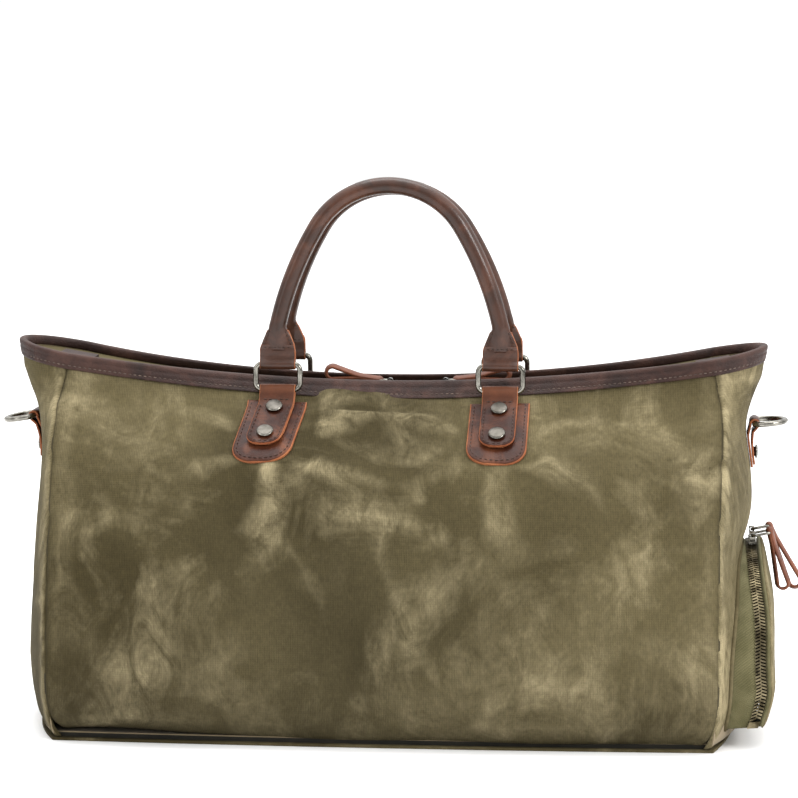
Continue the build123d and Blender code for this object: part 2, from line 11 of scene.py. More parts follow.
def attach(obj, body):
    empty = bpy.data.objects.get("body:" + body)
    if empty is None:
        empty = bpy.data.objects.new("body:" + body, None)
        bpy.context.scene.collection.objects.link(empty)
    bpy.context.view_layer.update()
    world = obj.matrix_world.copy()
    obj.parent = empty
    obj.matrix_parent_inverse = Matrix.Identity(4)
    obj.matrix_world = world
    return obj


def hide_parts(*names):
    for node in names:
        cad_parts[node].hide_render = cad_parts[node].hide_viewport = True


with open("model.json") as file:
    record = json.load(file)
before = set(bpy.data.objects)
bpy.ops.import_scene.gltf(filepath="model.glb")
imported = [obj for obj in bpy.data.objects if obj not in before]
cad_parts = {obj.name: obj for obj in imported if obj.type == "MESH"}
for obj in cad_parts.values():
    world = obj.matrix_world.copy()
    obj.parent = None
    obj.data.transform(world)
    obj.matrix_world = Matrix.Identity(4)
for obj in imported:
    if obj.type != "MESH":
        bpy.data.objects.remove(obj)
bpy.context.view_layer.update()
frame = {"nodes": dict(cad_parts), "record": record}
NODES = frame["nodes"]

# =================================================================== small maths
# Lengths below are in millimetres; meshes are made in metres.
MM = 0.001


def unit(v):
    length = np.linalg.norm(v, axis=-1, keepdims=True)
    return v / np.maximum(length, 1e-9)


def spline(knots, values):
    """Natural cubic spline through the knots, held straight beyond the ends."""
    x = np.asarray(knots, float)
    y = np.asarray(values, float)
    n = len(x)
    h = np.diff(x)
    a = np.zeros((n, n))
    b = np.zeros(n)
    a[0, 0] = a[-1, -1] = 1
    for i in range(1, n - 1):
        a[i, i - 1] = h[i - 1]
        a[i, i] = 2 * (h[i - 1] + h[i])
        a[i, i + 1] = h[i]
        b[i] = 6 * ((y[i + 1] - y[i]) / h[i] - (y[i] - y[i - 1]) / h[i - 1])
    m = np.linalg.solve(a, b)

    def curve(t):
        t = np.clip(np.asarray(t, float), x[0], x[-1])
        k = np.clip(np.searchsorted(x, t) - 1, 0, n - 2)
        d, e = t - x[k], x[k + 1] - t
        w = h[k]
        return (
            m[k] * e**3 / (6 * w)
            + m[k + 1] * d**3 / (6 * w)
            + (y[k] / w - m[k] * w / 6) * e
            + (y[k + 1] / w - m[k + 1] * w / 6) * d
        )

    return curve


LATTICE = np.random.default_rng(7).uniform(-1, 1, (8, 256, 256))


def noise(u, v, size, layer=0):
    """Smooth noise from -1 to 1 with features about size mm across."""
    u, v = np.asarray(u, float) / size + 100.3, np.asarray(v, float) / size + 100.7
    i, j = np.floor(u).astype(int), np.floor(v).astype(int)
    f, g = u - i, v - j
    f, g = f * f * f * (f * (6 * f - 15) + 10), g * g * g * (g * (6 * g - 15) + 10)
    t = LATTICE[layer]
    i0, j0, i1, j1 = i % 256, j % 256, (i + 1) % 256, (j + 1) % 256
    low = t[i0, j0] * (1 - f) + t[i1, j0] * f
    high = t[i0, j1] * (1 - f) + t[i1, j1] * f
    return low * (1 - g) + high * g


def bump_at(d, width):
    return np.exp(-((d / width) ** 2))


# =================================================================== the bag's outside
# height, seam X, seam Y, middle Y, left end X, right end X
OUTLINE = np.array(
    [
        (2.0, 231.0, 104.0, 109.0, 254.0, 246.0),
        (25.0, 234.0, 112.0, 119.0, 260.0, 252.0),
        (60.0, 235.0, 113.0, 123.0, 261.0, 254.5),
        (100.0, 235.0, 110.0, 122.5, 258.0, 253.0),
        (131.0, 234.5, 103.0, 118.0, 255.5, 250.0),
        (150.0, 234.5, 97.0, 112.0, 254.0, 255.5),
        (170.0, 235.0, 88.0, 104.0, 252.5, 257.0),
        (199.0, 236.0, 73.0, 85.0, 251.5, 254.0),
        (217.0, 236.0, 61.0, 57.5, 254.0, 252.5),
        (233.0, 235.0, 49.0, 33.0, 259.0, 256.0),
        (246.0, 232.0, 42.0, 20.0, 264.0, 260.0),
        (265.0, 227.0, 39.0, 14.0, 268.0, 264.5),
        (290.0, 221.0, 37.0, 11.0, 271.0, 268.0),
    ]
)
SEAM_X, SEAM_Y, MIDDLE_Y, LEFT_X, RIGHT_X = (spline(OUTLINE[:, 0], OUTLINE[:, k]) for k in range(1, 6))
RIM_RADIUS = (268.0**2 + 27.0**2) / 54.0
RIM_CENTRE = 245.0 + RIM_RADIUS


def rim_z(x, drop=0.0):
    return RIM_CENTRE - np.sqrt((RIM_RADIUS + drop) ** 2 - np.asarray(x, float) ** 2)


def arc_height(s, half, rise):
    """Height of a circular arc over its chord, s from -1 to 1 along the chord."""
    rise = np.where(np.abs(rise) < 0.05, 0.05, rise)
    r = (half**2 + rise**2) / (2 * np.abs(rise))
    return np.sign(rise) * (np.sqrt(np.maximum(r**2 - (s * half) ** 2, 0)) - (r - np.abs(rise)))


def front_point(s, z):
    """Front side: s from -1 at the left seam to 1 at the right seam."""
    x = s * SEAM_X(z)
    y = -(SEAM_Y(z) + arc_height(s, SEAM_X(z), MIDDLE_Y(z) - SEAM_Y(z)))
    return np.stack([x, y, z + 0 * x], -1)


def end_point(s, z, sign):
    """An end: s from -1 at the front seam to 1 at the rear seam; sign -1 left, 1 right."""
    reach = RIGHT_X(z) if sign > 0 else LEFT_X(z)
    rise = reach - SEAM_X(z)
    half = SEAM_Y(z)
    r = (half**2 + rise**2) / (2 * rise)
    limit = np.arctan2(half, r - rise)
    angle = s * limit
    x = SEAM_X(z) - (r - rise) + r * np.cos(angle)
    return np.stack([sign * x, r * np.sin(angle), z + 0 * angle], -1)


HEIGHTS = np.linspace(2.0, 289.0, 600)
PROFILE = np.stack([MIDDLE_Y(HEIGHTS), HEIGHTS], -1)
CLIMB = np.concatenate([[0], np.cumsum(np.linalg.norm(np.diff(PROFILE, axis=0), axis=1))])


def climb_of(z):
    return np.interp(z, HEIGHTS, CLIMB)


def height_of(climb):
    return np.interp(climb, CLIMB, HEIGHTS)


def grid_normals(grid):
    du = np.gradient(grid, axis=0)
    dv = np.gradient(grid, axis=1)
    return unit(np.cross(du, dv))


# =================================================================== meshes
def add_mesh(
    name, verts, faces, body, material, uv=None, face_material=None, wear_and_painted_light=None, smooth=True, painted_shade=None
):
    """Mesh object from vertices in mm, riding on a CAD body."""
    mesh = bpy.data.meshes.new(name)
    mesh.from_pydata((np.asarray(verts) * MM).tolist(), [], faces)
    materials = material if isinstance(material, (list, tuple)) else [material]
    for m in materials:
        mesh.materials.append(m)
    if face_material is not None:
        mesh.polygons.foreach_set("material_index", np.asarray(face_material, np.int32))
    mesh.polygons.foreach_set("use_smooth", [smooth] * len(mesh.polygons))
    if uv is not None:
        layer = mesh.uv_layers.new(name="UVMap")
        loops = np.zeros(len(mesh.loops), np.int32)
        mesh.loops.foreach_get("vertex_index", loops)
        layer.data.foreach_set("uv", (np.asarray(uv, np.float32)[loops]).ravel())
    if wear_and_painted_light is not None:
        layer = mesh.attributes.new("wear_and_painted_light", "FLOAT", "POINT")
        layer.data.foreach_set("value", np.asarray(wear_and_painted_light, np.float32))
    # per-vertex darkening that paints shade onto the canvas sides
    if painted_shade is not None:
        layer = mesh.attributes.new("painted_shade", "FLOAT", "POINT")
        layer.data.foreach_set("value", np.asarray(painted_shade, np.float32))
    work = bmesh.new()
    work.from_mesh(mesh)
    bmesh.ops.recalc_face_normals(work, faces=work.faces)
    work.to_mesh(mesh)
    work.free()
    obj = bpy.data.objects.new(name, mesh)
    bpy.context.scene.collection.objects.link(obj)
    if body:
        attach(obj, body)
    return obj


def grid_faces(nu, nv, start=0, flip=False, close_u=False, close_v=False):
    faces = []
    for i in range(nu if close_u else nu - 1):
        for j in range(nv if close_v else nv - 1):
            a = start + i * nv + j
            b = start + ((i + 1) % nu) * nv + j
            c = start + ((i + 1) % nu) * nv + (j + 1) % nv
            d = start + i * nv + (j + 1) % nv
            faces.append((a, d, c, b) if flip else (a, b, c, d))
    return faces


def solid_sheet(outer, inner):
    """Closed solid between two grids of the same size. Returns vertices, faces and a side flag."""
    nu, nv = outer.shape[:2]
    verts = np.concatenate([outer.reshape(-1, 3), inner.reshape(-1, 3)])
    faces = grid_faces(nu, nv) + grid_faces(nu, nv, nu * nv, flip=True)
    flags = [0] * len(faces)
    n = nu * nv
    ring = [i * nv for i in range(nu)]
    ring += [(nu - 1) * nv + j for j in range(1, nv)]
    ring += [i * nv + nv - 1 for i in range(nu - 2, -1, -1)]
    ring += [j for j in range(nv - 2, 0, -1)]
    for k in range(len(ring)):
        a, b = ring[k], ring[(k + 1) % len(ring)]
        faces.append((b, a, a + n, b + n))
        flags.append(1)
    return verts, faces, flags


def sweep(path, section, closed=False, frames=None):
    """Sweeps section points (n, 2) or (m, n, 2) along a path (m, 3). Ends are capped."""
    path = np.asarray(path, float)
    m = len(path)
    if closed:
        tangent = unit(np.roll(path, -1, 0) - np.roll(path, 1, 0))
    else:
        tangent = unit(np.gradient(path, axis=0))
    side, up = frames if frames is not None else path_frames(tangent)
    section = np.asarray(section, float)
    if section.ndim == 2:
        section = np.repeat(section[None], m, 0)
    n = section.shape[1]
    verts = path[:, None] + section[..., :1] * side[:, None] + section[..., 1:] * up[:, None]
    faces = []
    for i in range(m if closed else m - 1):
        for j in range(n):
            a, b = i * n + j, ((i + 1) % m) * n + j
            c, d = ((i + 1) % m) * n + (j + 1) % n, i * n + (j + 1) % n
            faces.append((a, d, c, b))
    if not closed:
        faces.append(tuple(range(n)))
        faces.append(tuple((m - 1) * n + j for j in range(n - 1, -1, -1)))
    return verts.reshape(-1, 3), faces


def path_frames(tangent):
    m = len(tangent)
    side = np.zeros((m, 3))
    first = np.cross(tangent[0], (0, 0, 1) if abs(tangent[0][2]) < 0.9 else (1, 0, 0))
    side[0] = first / np.linalg.norm(first)
    for i in range(1, m):
        v = side[i - 1] - np.dot(side[i - 1], tangent[i]) * tangent[i]
        side[i] = v / np.linalg.norm(v)
    return side, np.cross(tangent, side)


def circle(radius, n=16):
    a = np.linspace(0, 2 * math.pi, n, endpoint=False)
    return np.stack([np.cos(a), np.sin(a)], -1) * radius


def joined(pieces):
    """Joins (verts, faces) pairs."""
    verts, faces, start = [], [], 0
    for v, f in pieces:
        verts.append(np.asarray(v))
        faces += [tuple(k + start for k in face) for face in f]
        start += len(v)
    return np.concatenate(verts), faces


# =================================================================== materials
class Paint:
    """Builds one procedural material around a principled shader."""

    def __init__(self, name):
        self.mat = bpy.data.materials.new(name)
        self.mat.use_nodes = True
        self.tree = self.mat.node_tree
        self.shader = self.tree.nodes["Principled BSDF"]
        self.normal = None

    def node(self, kind, **settings):
        n = self.tree.nodes.new(kind)
        for key, value in settings.items():
            setattr(n, key, value)
        return n

    def put(self, socket, value):
        if isinstance(value, bpy.types.NodeSocket):
            self.tree.links.new(value, socket)
        else:
            socket.default_value = value

    def coords(self, scale, kind="Object", rotate=(0, 0, 0)):
        source = self.node("ShaderNodeTexCoord").outputs[kind]
        mapping = self.node("ShaderNodeMapping")
        self.put(mapping.inputs["Vector"], source)
        mapping.inputs["Scale"].default_value = scale if hasattr(scale, "__len__") else (scale,) * 3
        mapping.inputs["Rotation"].default_value = rotate
        return mapping.outputs[0]

    def noise(self, scale, detail=3.0, rough=0.5, vector=None, distortion=0.0):
        n = self.node("ShaderNodeTexNoise")
        n.inputs["Scale"].default_value = scale
        n.inputs["Detail"].default_value = detail
        n.inputs["Roughness"].default_value = rough
        n.inputs["Distortion"].default_value = distortion
        self.put(n.inputs["Vector"], vector if vector is not None else self.coords(1.0))
        return n.outputs["Fac"]

    def wave(self, vector, scale, direction="X", distortion=0.0, profile="SIN"):
        n = self.node("ShaderNodeTexWave", wave_type="BANDS", bands_direction=direction, wave_profile=profile)
        n.inputs["Scale"].default_value = scale
        n.inputs["Distortion"].default_value = distortion
        n.inputs["Detail"].default_value = 1.0
        n.inputs["Detail Scale"].default_value = 2.0
        self.put(n.inputs["Vector"], vector)
        return n.outputs["Fac"]

    def ramp(self, value, stops):
        n = self.node("ShaderNodeValToRGB")
        elements = n.color_ramp.elements
        while len(elements) < len(stops):
            elements.new(0.5)
        for element, (at, colour) in zip(elements, stops):
            element.position = at
            element.color = colour if hasattr(colour, "__len__") else (colour,) * 3 + (1,)
        self.put(n.inputs["Fac"], value)
        return n.outputs["Color"]

    def maths(self, kind, a, b=0.0, clamp=False):
        n = self.node("ShaderNodeMath", operation=kind, use_clamp=clamp)
        self.put(n.inputs[0], a)
        self.put(n.inputs[1], b)
        return n.outputs[0]

    def mix(self, factor, a, b, blend="MIX"):
        n = self.node("ShaderNodeMix", data_type="RGBA", blend_type=blend)
        self.put(n.inputs["Factor"], factor)
        self.put(n.inputs[6], a)
        self.put(n.inputs[7], b)
        return n.outputs[2]

    def bump(self, height, distance, strength=1.0):
        n = self.node("ShaderNodeBump")
        n.inputs["Strength"].default_value = strength
        n.inputs["Distance"].default_value = distance
        self.put(n.inputs["Height"], height)
        if self.normal is not None:
            self.put(n.inputs["Normal"], self.normal)
        self.normal = n.outputs[0]

    def done(self, colour, roughness, metallic=0.0, sheen=0.0, coat=0.0, specular=0.5):
        self.put(self.shader.inputs["Base Color"], colour)
        self.put(self.shader.inputs["Roughness"], roughness)
        self.shader.inputs["Metallic"].default_value = metallic
        self.shader.inputs["Sheen Weight"].default_value = sheen
        self.shader.inputs["Coat Weight"].default_value = coat
        self.shader.inputs["Specular IOR Level"].default_value = specular
        if self.normal is not None:
            self.put(self.shader.inputs["Normal"], self.normal)
        return self.mat


def rgb(r, g, b):
    return (r, g, b, 1.0)


def canvas_material(name, dark, base, pale):
    """Waxed canvas: cloudy pull-up marks over a fine plain weave."""
    p = Paint(name)
    place = p.coords(1.0)
    broad = p.ramp(p.noise(5.5, 3.0, 0.5, place, 0.5), [(0.36, 0.0), (0.58, 1.0)])
    colour = p.mix(broad, dark, base)
    cloud = p.ramp(p.noise(10.0, 7.0, 0.6, place, 1.1), [(0.50, 0.0), (0.74, 1.0)])
    wisp = p.ramp(p.noise(1.0, 6.0, 0.66, p.coords((34.0, 40.0, 20.0)), 2.2), [(0.36, 0.15), (0.70, 1.0)])
    # This attribute pales the canvas: wear along the fold ridges, and painted light over the whole right end.
    wear_and_painted_light = p.node("ShaderNodeAttribute", attribute_name="wear_and_painted_light").outputs["Fac"]
    pale_marks_and_light = p.maths("ADD", p.maths("MULTIPLY", cloud, wisp), p.maths("MULTIPLY", wear_and_painted_light, wisp), True)
    colour = p.mix(p.maths("MULTIPLY", pale_marks_and_light, 0.85), colour, pale)
    # This attribute pulls the canvas towards near black: painted shade in the seam grooves, low on the sides and
    # across their middle.
    painted_shade = p.node("ShaderNodeAttribute", attribute_name="painted_shade").outputs["Fac"]
    colour = p.mix(p.maths("MULTIPLY", painted_shade, 0.9, True), colour, rgb(0.012, 0.010, 0.006))
    weave = p.coords(1.0, "UV")
    warp = p.wave(weave, 260.0, "X", 0.8)
    weft = p.wave(weave, 200.0, "Y", 0.8)
    thread = p.maths("ADD", p.maths("MULTIPLY", warp, 0.65), p.maths("MULTIPLY", weft, 0.35))
    slub = p.noise(1.0, 3.0, 0.7, p.coords((1100.0, 160.0, 1.0), "UV"))
    fleck = p.noise(260.0, 3.0, 0.75, place)
    colour = p.mix(0.25, colour, p.ramp(thread, [(0.15, 0.34), (0.85, 0.70)]), "OVERLAY")
    colour = p.mix(0.5, colour, p.ramp(slub, [(0.3, 0.36), (0.7, 0.64)]), "OVERLAY")
    colour = p.mix(0.5, colour, p.ramp(fleck, [(0.3, 0.36), (0.7, 0.64)]), "OVERLAY")
    p.bump(slub, 0.0004, 0.5)
    p.bump(thread, 0.0003, 0.6)
    return p.done(colour, 0.85, specular=0.12)


def leather_material(name, dark, base, pale, roughness, grain=1.0, gloss=0.0, shine=0.3):
    p = Paint(name)
    place = p.coords(1.0)
    cloudy = p.noise(38.0, 5.0, 0.62, place, 0.8)
    fine = p.noise(260.0, 4.0, 0.6, place)
    pores = p.node("ShaderNodeTexVoronoi", feature="F1")
    pores.inputs["Scale"].default_value = 900.0
    p.put(pores.inputs["Vector"], place)
    colour = p.ramp(cloudy, [(0.32, dark), (0.5, base), (0.72, pale)])
    wear_and_painted_light = p.node("ShaderNodeAttribute", attribute_name="wear_and_painted_light").outputs["Fac"]
    colour = p.mix(p.maths("MULTIPLY", wear_and_painted_light, 1.0, True), colour, pale)
    colour = p.mix(0.3, colour, p.ramp(fine, [(0.3, 0.32), (0.7, 0.68)]), "OVERLAY")
    p.bump(cloudy, 0.0006, 0.3)
    p.bump(fine, 0.00022 * grain, 0.5)
    p.bump(pores.outputs["Distance"], 0.00016 * grain, 0.6)
    rough = p.ramp(fine, [(0.25, roughness - 0.07), (0.75, roughness + 0.1)])
    return p.done(colour, rough, coat=gloss, specular=shine)


def metal_material(name, dark, bright, roughness):
    p = Paint(name)
    place = p.coords(1.0)
    cloudy = p.noise(120.0, 4.0, 0.6, place)
    scratch = p.noise(1.0, 3.0, 0.6, p.coords((900.0, 140.0, 900.0)))
    colour = p.ramp(cloudy, [(0.35, dark), (0.65, bright)])
    p.bump(scratch, 0.00004, 0.4)
    rough = p.ramp(scratch, [(0.3, roughness - 0.06), (0.7, roughness + 0.12)])
    return p.done(colour, rough, metallic=1.0)


def twill_material(name, base, pale, pitch=1100.0):
    p = Paint(name)
    place = p.coords(1.0, "UV", (0, 0, math.radians(40)))
    rib = p.wave(place, pitch / 6.283, "X", 0.4)
    cloudy = p.noise(60.0, 4.0, 0.6)
    colour = p.mix(p.ramp(cloudy, [(0.35, 0.0), (0.65, 1.0)]), base, pale)
    colour = p.mix(0.35, colour, p.ramp(rib, [(0.1, 0.36), (0.9, 0.64)]), "OVERLAY")
    p.bump(rib, 0.0002, 0.6)
    return p.done(colour, 0.8, sheen=0.1, specular=0.25)


CANVAS = canvas_material(
    "waxed_canvas", rgb(0.040, 0.031, 0.0125), rgb(0.082, 0.066, 0.031), rgb(0.30, 0.25, 0.145)
)
LINING = twill_material("lining_twill", rgb(0.20, 0.155, 0.09), rgb(0.26, 0.20, 0.12))
BINDING = leather_material(
    "binding_leather", rgb(0.013, 0.005, 0.0035), rgb(0.025, 0.0095, 0.0065), rgb(0.060, 0.026, 0.018), 0.62,
    2.6
)
LEATHER = leather_material(
    "handle_leather", rgb(0.014, 0.006, 0.003), rgb(0.034, 0.012, 0.006), rgb(0.085, 0.032, 0.017), 0.36, 0.7,
    0.15
)
PATCH = leather_material(
    "patch_leather", rgb(0.014, 0.004, 0.002), rgb(0.034, 0.009, 0.004), rgb(0.12, 0.040, 0.017), 0.36, 0.9,
    0.0, 0.14
)
EDGE = leather_material(
    "cut_edge", rgb(0.13, 0.033, 0.010), rgb(0.22, 0.062, 0.020), rgb(0.36, 0.13, 0.05), 0.7, 2.0
)
PULL = leather_material(
    "pull_leather", rgb(0.055, 0.014, 0.006), rgb(0.11, 0.030, 0.012), rgb(0.20, 0.065, 0.028), 0.5, 1.4
)
NICKEL = metal_material("aged_nickel", rgb(0.11, 0.105, 0.09), rgb(0.30, 0.285, 0.25), 0.18)
CAP = metal_material("rivet_cap", rgb(0.07, 0.065, 0.055), rgb(0.14, 0.13, 0.115), 0.38)
BRASS = metal_material("aged_brass", rgb(0.045, 0.036, 0.020), rgb(0.24, 0.20, 0.12), 0.36)
THREAD = twill_material("thread", rgb(0.030, 0.014, 0.009), rgb(0.055, 0.028, 0.018), 4000.0)
TAPE = twill_material("zip_tape", rgb(0.080, 0.072, 0.028), rgb(0.125, 0.112, 0.052))
RIM_THREAD = twill_material("rim_thread", rgb(0.030, 0.018, 0.014), rgb(0.17, 0.12, 0.095), 4000.0)
DARK_TAPE = twill_material("dark_tape", rgb(0.012, 0.012, 0.008), rgb(0.022, 0.021, 0.014))
# The base board's near-black colour is painted shade for the dark gap under the lifted canvas bottom edge.
BOARD = twill_material("board", rgb(0.010, 0.009, 0.006), rgb(0.018, 0.016, 0.011), 300.0)
ROPE = twill_material("rope", rgb(0.42, 0.36, 0.26), rgb(0.55, 0.48, 0.36), 600.0)

SLOT_PAINT = {
    "canvas": CANVAS,
    "board": BOARD,
    "lining": LINING,
    "binding_leather": BINDING,
    "handle_leather": LEATHER,
    "rope": ROPE,
    "zip_tape": TAPE,
    "brass": BRASS,
    "hardware": NICKEL,
    "pull_leather": PULL,
}
for entry in frame["record"]["subparts"]:
    mesh = NODES[entry["node"]].data
    mesh.materials.clear()
    mesh.materials.append(SLOT_PAINT[entry["material_slot"]])

# =================================================================== canvas sides
CLOTH = 1.9


def folds(x, w, layer):
    """How far the canvas stands out or sinks in at x along the bag and w up its side, mm."""
    d = 2.8 * noise(x, w, 130, layer)
    d += 1.5 * noise(x + 0.4 * w, w - 0.2 * x, 62, layer + 1)
    crease = 1 - np.abs(noise(x + 0.5 * w, w * 1.1, 58, layer + 2))
    d += 0.9 * crease**4 * (0.5 + 0.5 * noise(x, w, 80, layer + 3))
    d += 0.30 * noise(x, w, 22, layer + 1)
    return d


def raised(relief):
    """Keeps hollows shallow, so the cloth stays clear of what is behind it."""
    return np.where(relief < 0, 1.3 * np.tanh(relief / 2.0), relief)


def wear_of(relief):
    """Pale wear on the broad ridges of a relief grid."""
    blurred = relief.copy()
    for _ in range(60):
        blurred[1:-1, 1:-1] = (
            blurred[2:, 1:-1] + blurred[:-2, 1:-1] + blurred[1:-1, 2:] + blurred[1:-1, :-2]
        ) / 4
    return np.clip((relief - blurred) * 0.9, 0, 0.8)


def normal_of(grid):
    """Normals of a side grid, pointing out of the bag."""
    n = grid_normals(grid)
    middle = n[n.shape[0] // 2, n.shape[1] // 3]
    away = grid[n.shape[0] // 2, n.shape[1] // 3] * np.array([1.0, 1.0, 0.0])
    return n if middle @ away > 0 else -n


def front_side(name, node, layer, rear=False):
    nu, nv = 236, 150
    s = np.linspace(-1, 1, nu)[:, None] * np.ones((1, nv))
    t = np.linspace(0, 1, nv)[None, :] * np.ones((nu, 1))
    top = rim_z(s * 229)
    for _ in range(3):
        top = rim_z(s * SEAM_X(top))
    w = climb_of(top) * t
    z = height_of(w)
    base = front_point(s * 0.9985, z)
    normal = normal_of(base)
    x = base[..., 0]
    edge = np.minimum((1 - np.abs(s)) * 235, 400)
    down = climb_of(top) - w
    relief = folds(x, w, layer)
    calm = np.clip(edge / 18, 0, 1) * np.clip(down / 16, 0, 1) * np.clip((w + 4) / 22, 0, 1)
    # the handles pull the cloth into shallow drag folds below each patch
    pull = np.zeros_like(x)
    for ax in (-79, 79):
        r = np.hypot(x - ax, (down - 68) * 0.9)
        angle = np.arctan2(x - ax, 68 - down + 1e-6)
        pull += 1.2 * np.cos(angle * 6.0) * bump_at(r - 52, 30) * (down > 30)
    flat = np.ones_like(x)
    for ax in (-79, 79):
        near = np.maximum(np.abs(x - ax) - 22, 0) ** 2 + np.maximum(np.abs(down - 42) - 36, 0) ** 2
        flat *= 1 - bump_at(np.sqrt(near), 9)
    relief = (raised(relief + pull)) * calm * flat
    ragged = edge + 0.9 * noise(w, 0 * w, 16, layer) + 0.3
    seam = -1.9 * bump_at(ragged, 1.7) + 0.12 * bump_at(edge - 7, 5)
    seam += 0.45 * bump_at(edge - 5, 4) * noise(w, 0 * w, 9, layer)
    # Painted shade: the canvas is darkened in the seam grooves, in a band towards the bottom of the side and in a
    # broad patch across its middle.
    painted_shade = bump_at(ragged, 1.5) + 0.30 * bump_at(w, 55)
    painted_shade += 0.26 * np.exp(-(((x + 30) / 115) ** 2) - ((w - 95) / 75) ** 2)
    relief = relief + seam * np.clip(down / 10, 0, 1)
    outer = base + normal * relief[..., None]
    curl = np.clip(1 - w / 16, 0, 1) ** 2
    outer[..., 1] += 5.5 * curl
    side = 1 if rear else -1
    lift = 6.5 * bump_at(x - side * 178, 60) + 1.5 + 1.2 * noise(x, 0 * x, 70, layer)
    outer[..., 2] += lift * np.clip(1 - w / 40, 0, 1) ** 2
    outer[..., 0] -= np.sign(x) * 6.0 * np.clip(1 - edge / 30, 0, 1) * np.clip(1 - w / 30, 0, 1) ** 2
    inner = outer - normal * CLOTH
    if rear:
        turn = np.array([-1.0, -1.0, 1.0])
        outer, inner = outer * turn, inner * turn
    verts, faces, _ = solid_sheet(outer, inner)
    uv = np.concatenate([np.stack([x, w], -1).reshape(-1, 2) * MM] * 2)
    wear_and_painted_light = wear_of(relief) * np.clip(edge / 20, 0, 1)
    obj = add_mesh(
        name, verts, faces, "shell", CANVAS, uv, None, np.tile(wear_and_painted_light.ravel(), 2), True,
        np.tile(painted_shade.ravel(), 2)
    )
    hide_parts(node)
    verts, faces, _ = solid_sheet(outer - normal_of(outer) * 2.05, outer - normal_of(outer) * 2.75)
    twill = add_mesh(name + "_lining", verts, faces, "shell", LINING, uv)
    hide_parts("lining_" + node.split("_")[0])
    return outer


def end_side(sign, layer):
    nu, nv = 110, 150
    s = np.linspace(-1, 1, nu)[:, None] * np.ones((1, nv))
    t = np.linspace(0, 1, nv)[None, :] * np.ones((nu, 1))
    z = 2 + (rim_z(250) - 2) * t
    for _ in range(4):
        p = end_point(s, z, sign)
        z = 2 + (rim_z(p[..., 0]) - 2) * t
    base = end_point(s * 0.9985, z, sign)
    normal = grid_normals(base)
    if normal[nu // 2, nv // 2, 0] * sign < 0:
        normal = -normal
    y = base[..., 1]
    edge = (1 - np.abs(s)) * SEAM_Y(z)
    down = rim_z(base[..., 0]) - z
    relief = folds(y + 40, z, layer) * np.clip(edge / 16, 0, 1) * np.clip(down / 16, 0, 1)
    relief = raised(relief) * np.clip(z / 22, 0, 1)
    near = np.maximum(np.abs(y) - 13, 0) ** 2 + np.maximum(np.abs(z - 206) - 21, 0) ** 2
    relief *= 1 - bump_at(np.sqrt(near), 9)
    if sign > 0:
        near = np.maximum(np.abs(y) - 20, 0) ** 2 + np.maximum(np.abs(z - 155) - 25, 0) ** 2
        relief = np.minimum(relief, 3 * (1 - bump_at(np.sqrt(near), 14)))
    relief += -1.9 * bump_at(edge + 0.9 * noise(z, 0 * z, 16, layer) + 0.3, 1.7) + 0.12 * bump_at(edge - 7, 5)
    outer = base + normal * relief[..., None]
    curl = np.clip(1 - z / 16, 0, 1) ** 2
    outer[..., 0] -= sign * 4.5 * curl
    inner = outer - normal * CLOTH
    return s, z, outer, inner, relief


front_grid = front_side("front_canvas", "front_panel", 0)
rear_grid = front_side("rear_canvas", "rear_panel", 3, rear=True)

s, z, outer, inner, relief = end_side(-1, 2)
verts, faces, _ = solid_sheet(outer, inner)
uv = np.concatenate([np.stack([outer[..., 1], z], -1).reshape(-1, 2) * MM] * 2)
left_canvas = add_mesh(
    "left_canvas", verts, faces, "shell", CANVAS, uv, None, np.tile(wear_of(relief).ravel(), 2)
)
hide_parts("left_gusset")

# =================================================================== right end, cut for the shoe compartment
LEAN = math.radians(4.5)
SHOE_AT = np.array([271.5, 0.0, 44.0])
SHOE_UP = np.array([-math.sin(LEAN), 0.0, math.cos(LEAN)])
SHOE_OUT = np.array([math.cos(LEAN), 0.0, math.sin(LEAN)])


def shoe(across, up, out, swell=1.0):
    """Point by the shoe arch; its soft end swells at mid height and tucks in at the foot."""
    across, up, out = (np.asarray(v, float) for v in np.broadcast_arrays(across, up, out))
    low = np.clip((-2 - up) / 26, 0, 1)
    out = out + swell * (2.2 * bump_at(up - 46, 24) - 8.0 * low**1.4)
    y = np.array([0.0, 1.0, 0.0])
    return SHOE_AT + across[..., None] * y + up[..., None] * SHOE_UP + out[..., None] * SHOE_OUT


def arch_line(radius, foot, n=120):
    """Across and up along an arch with straight legs, from the front foot over to the rear one."""
    legs = foot / (n / 8)
    down = np.arange(-foot, 0, legs)
    turn = np.linspace(-math.pi / 2, math.pi / 2, n)
    across = np.concatenate([0 * down - radius, radius * np.sin(turn), 0 * down + radius])
    up = np.concatenate([down, radius * np.cos(turn), down[::-1]])
    return across, up


def end_surface(y, z):
    """How far out the right end stands at y and z."""
    rise = RIGHT_X(z) - SEAM_X(z)
    r = (SEAM_Y(z) ** 2 + rise**2) / (2 * rise)
    return SEAM_X(z) - (r - rise) + np.sqrt(np.maximum(r**2 - y**2, 0))


s, z, outer, inner, relief = end_side(1, 4)
verts, faces, _ = solid_sheet(outer, inner)
uv = np.concatenate([np.stack([outer[..., 1], z], -1).reshape(-1, 2) * MM] * 2)
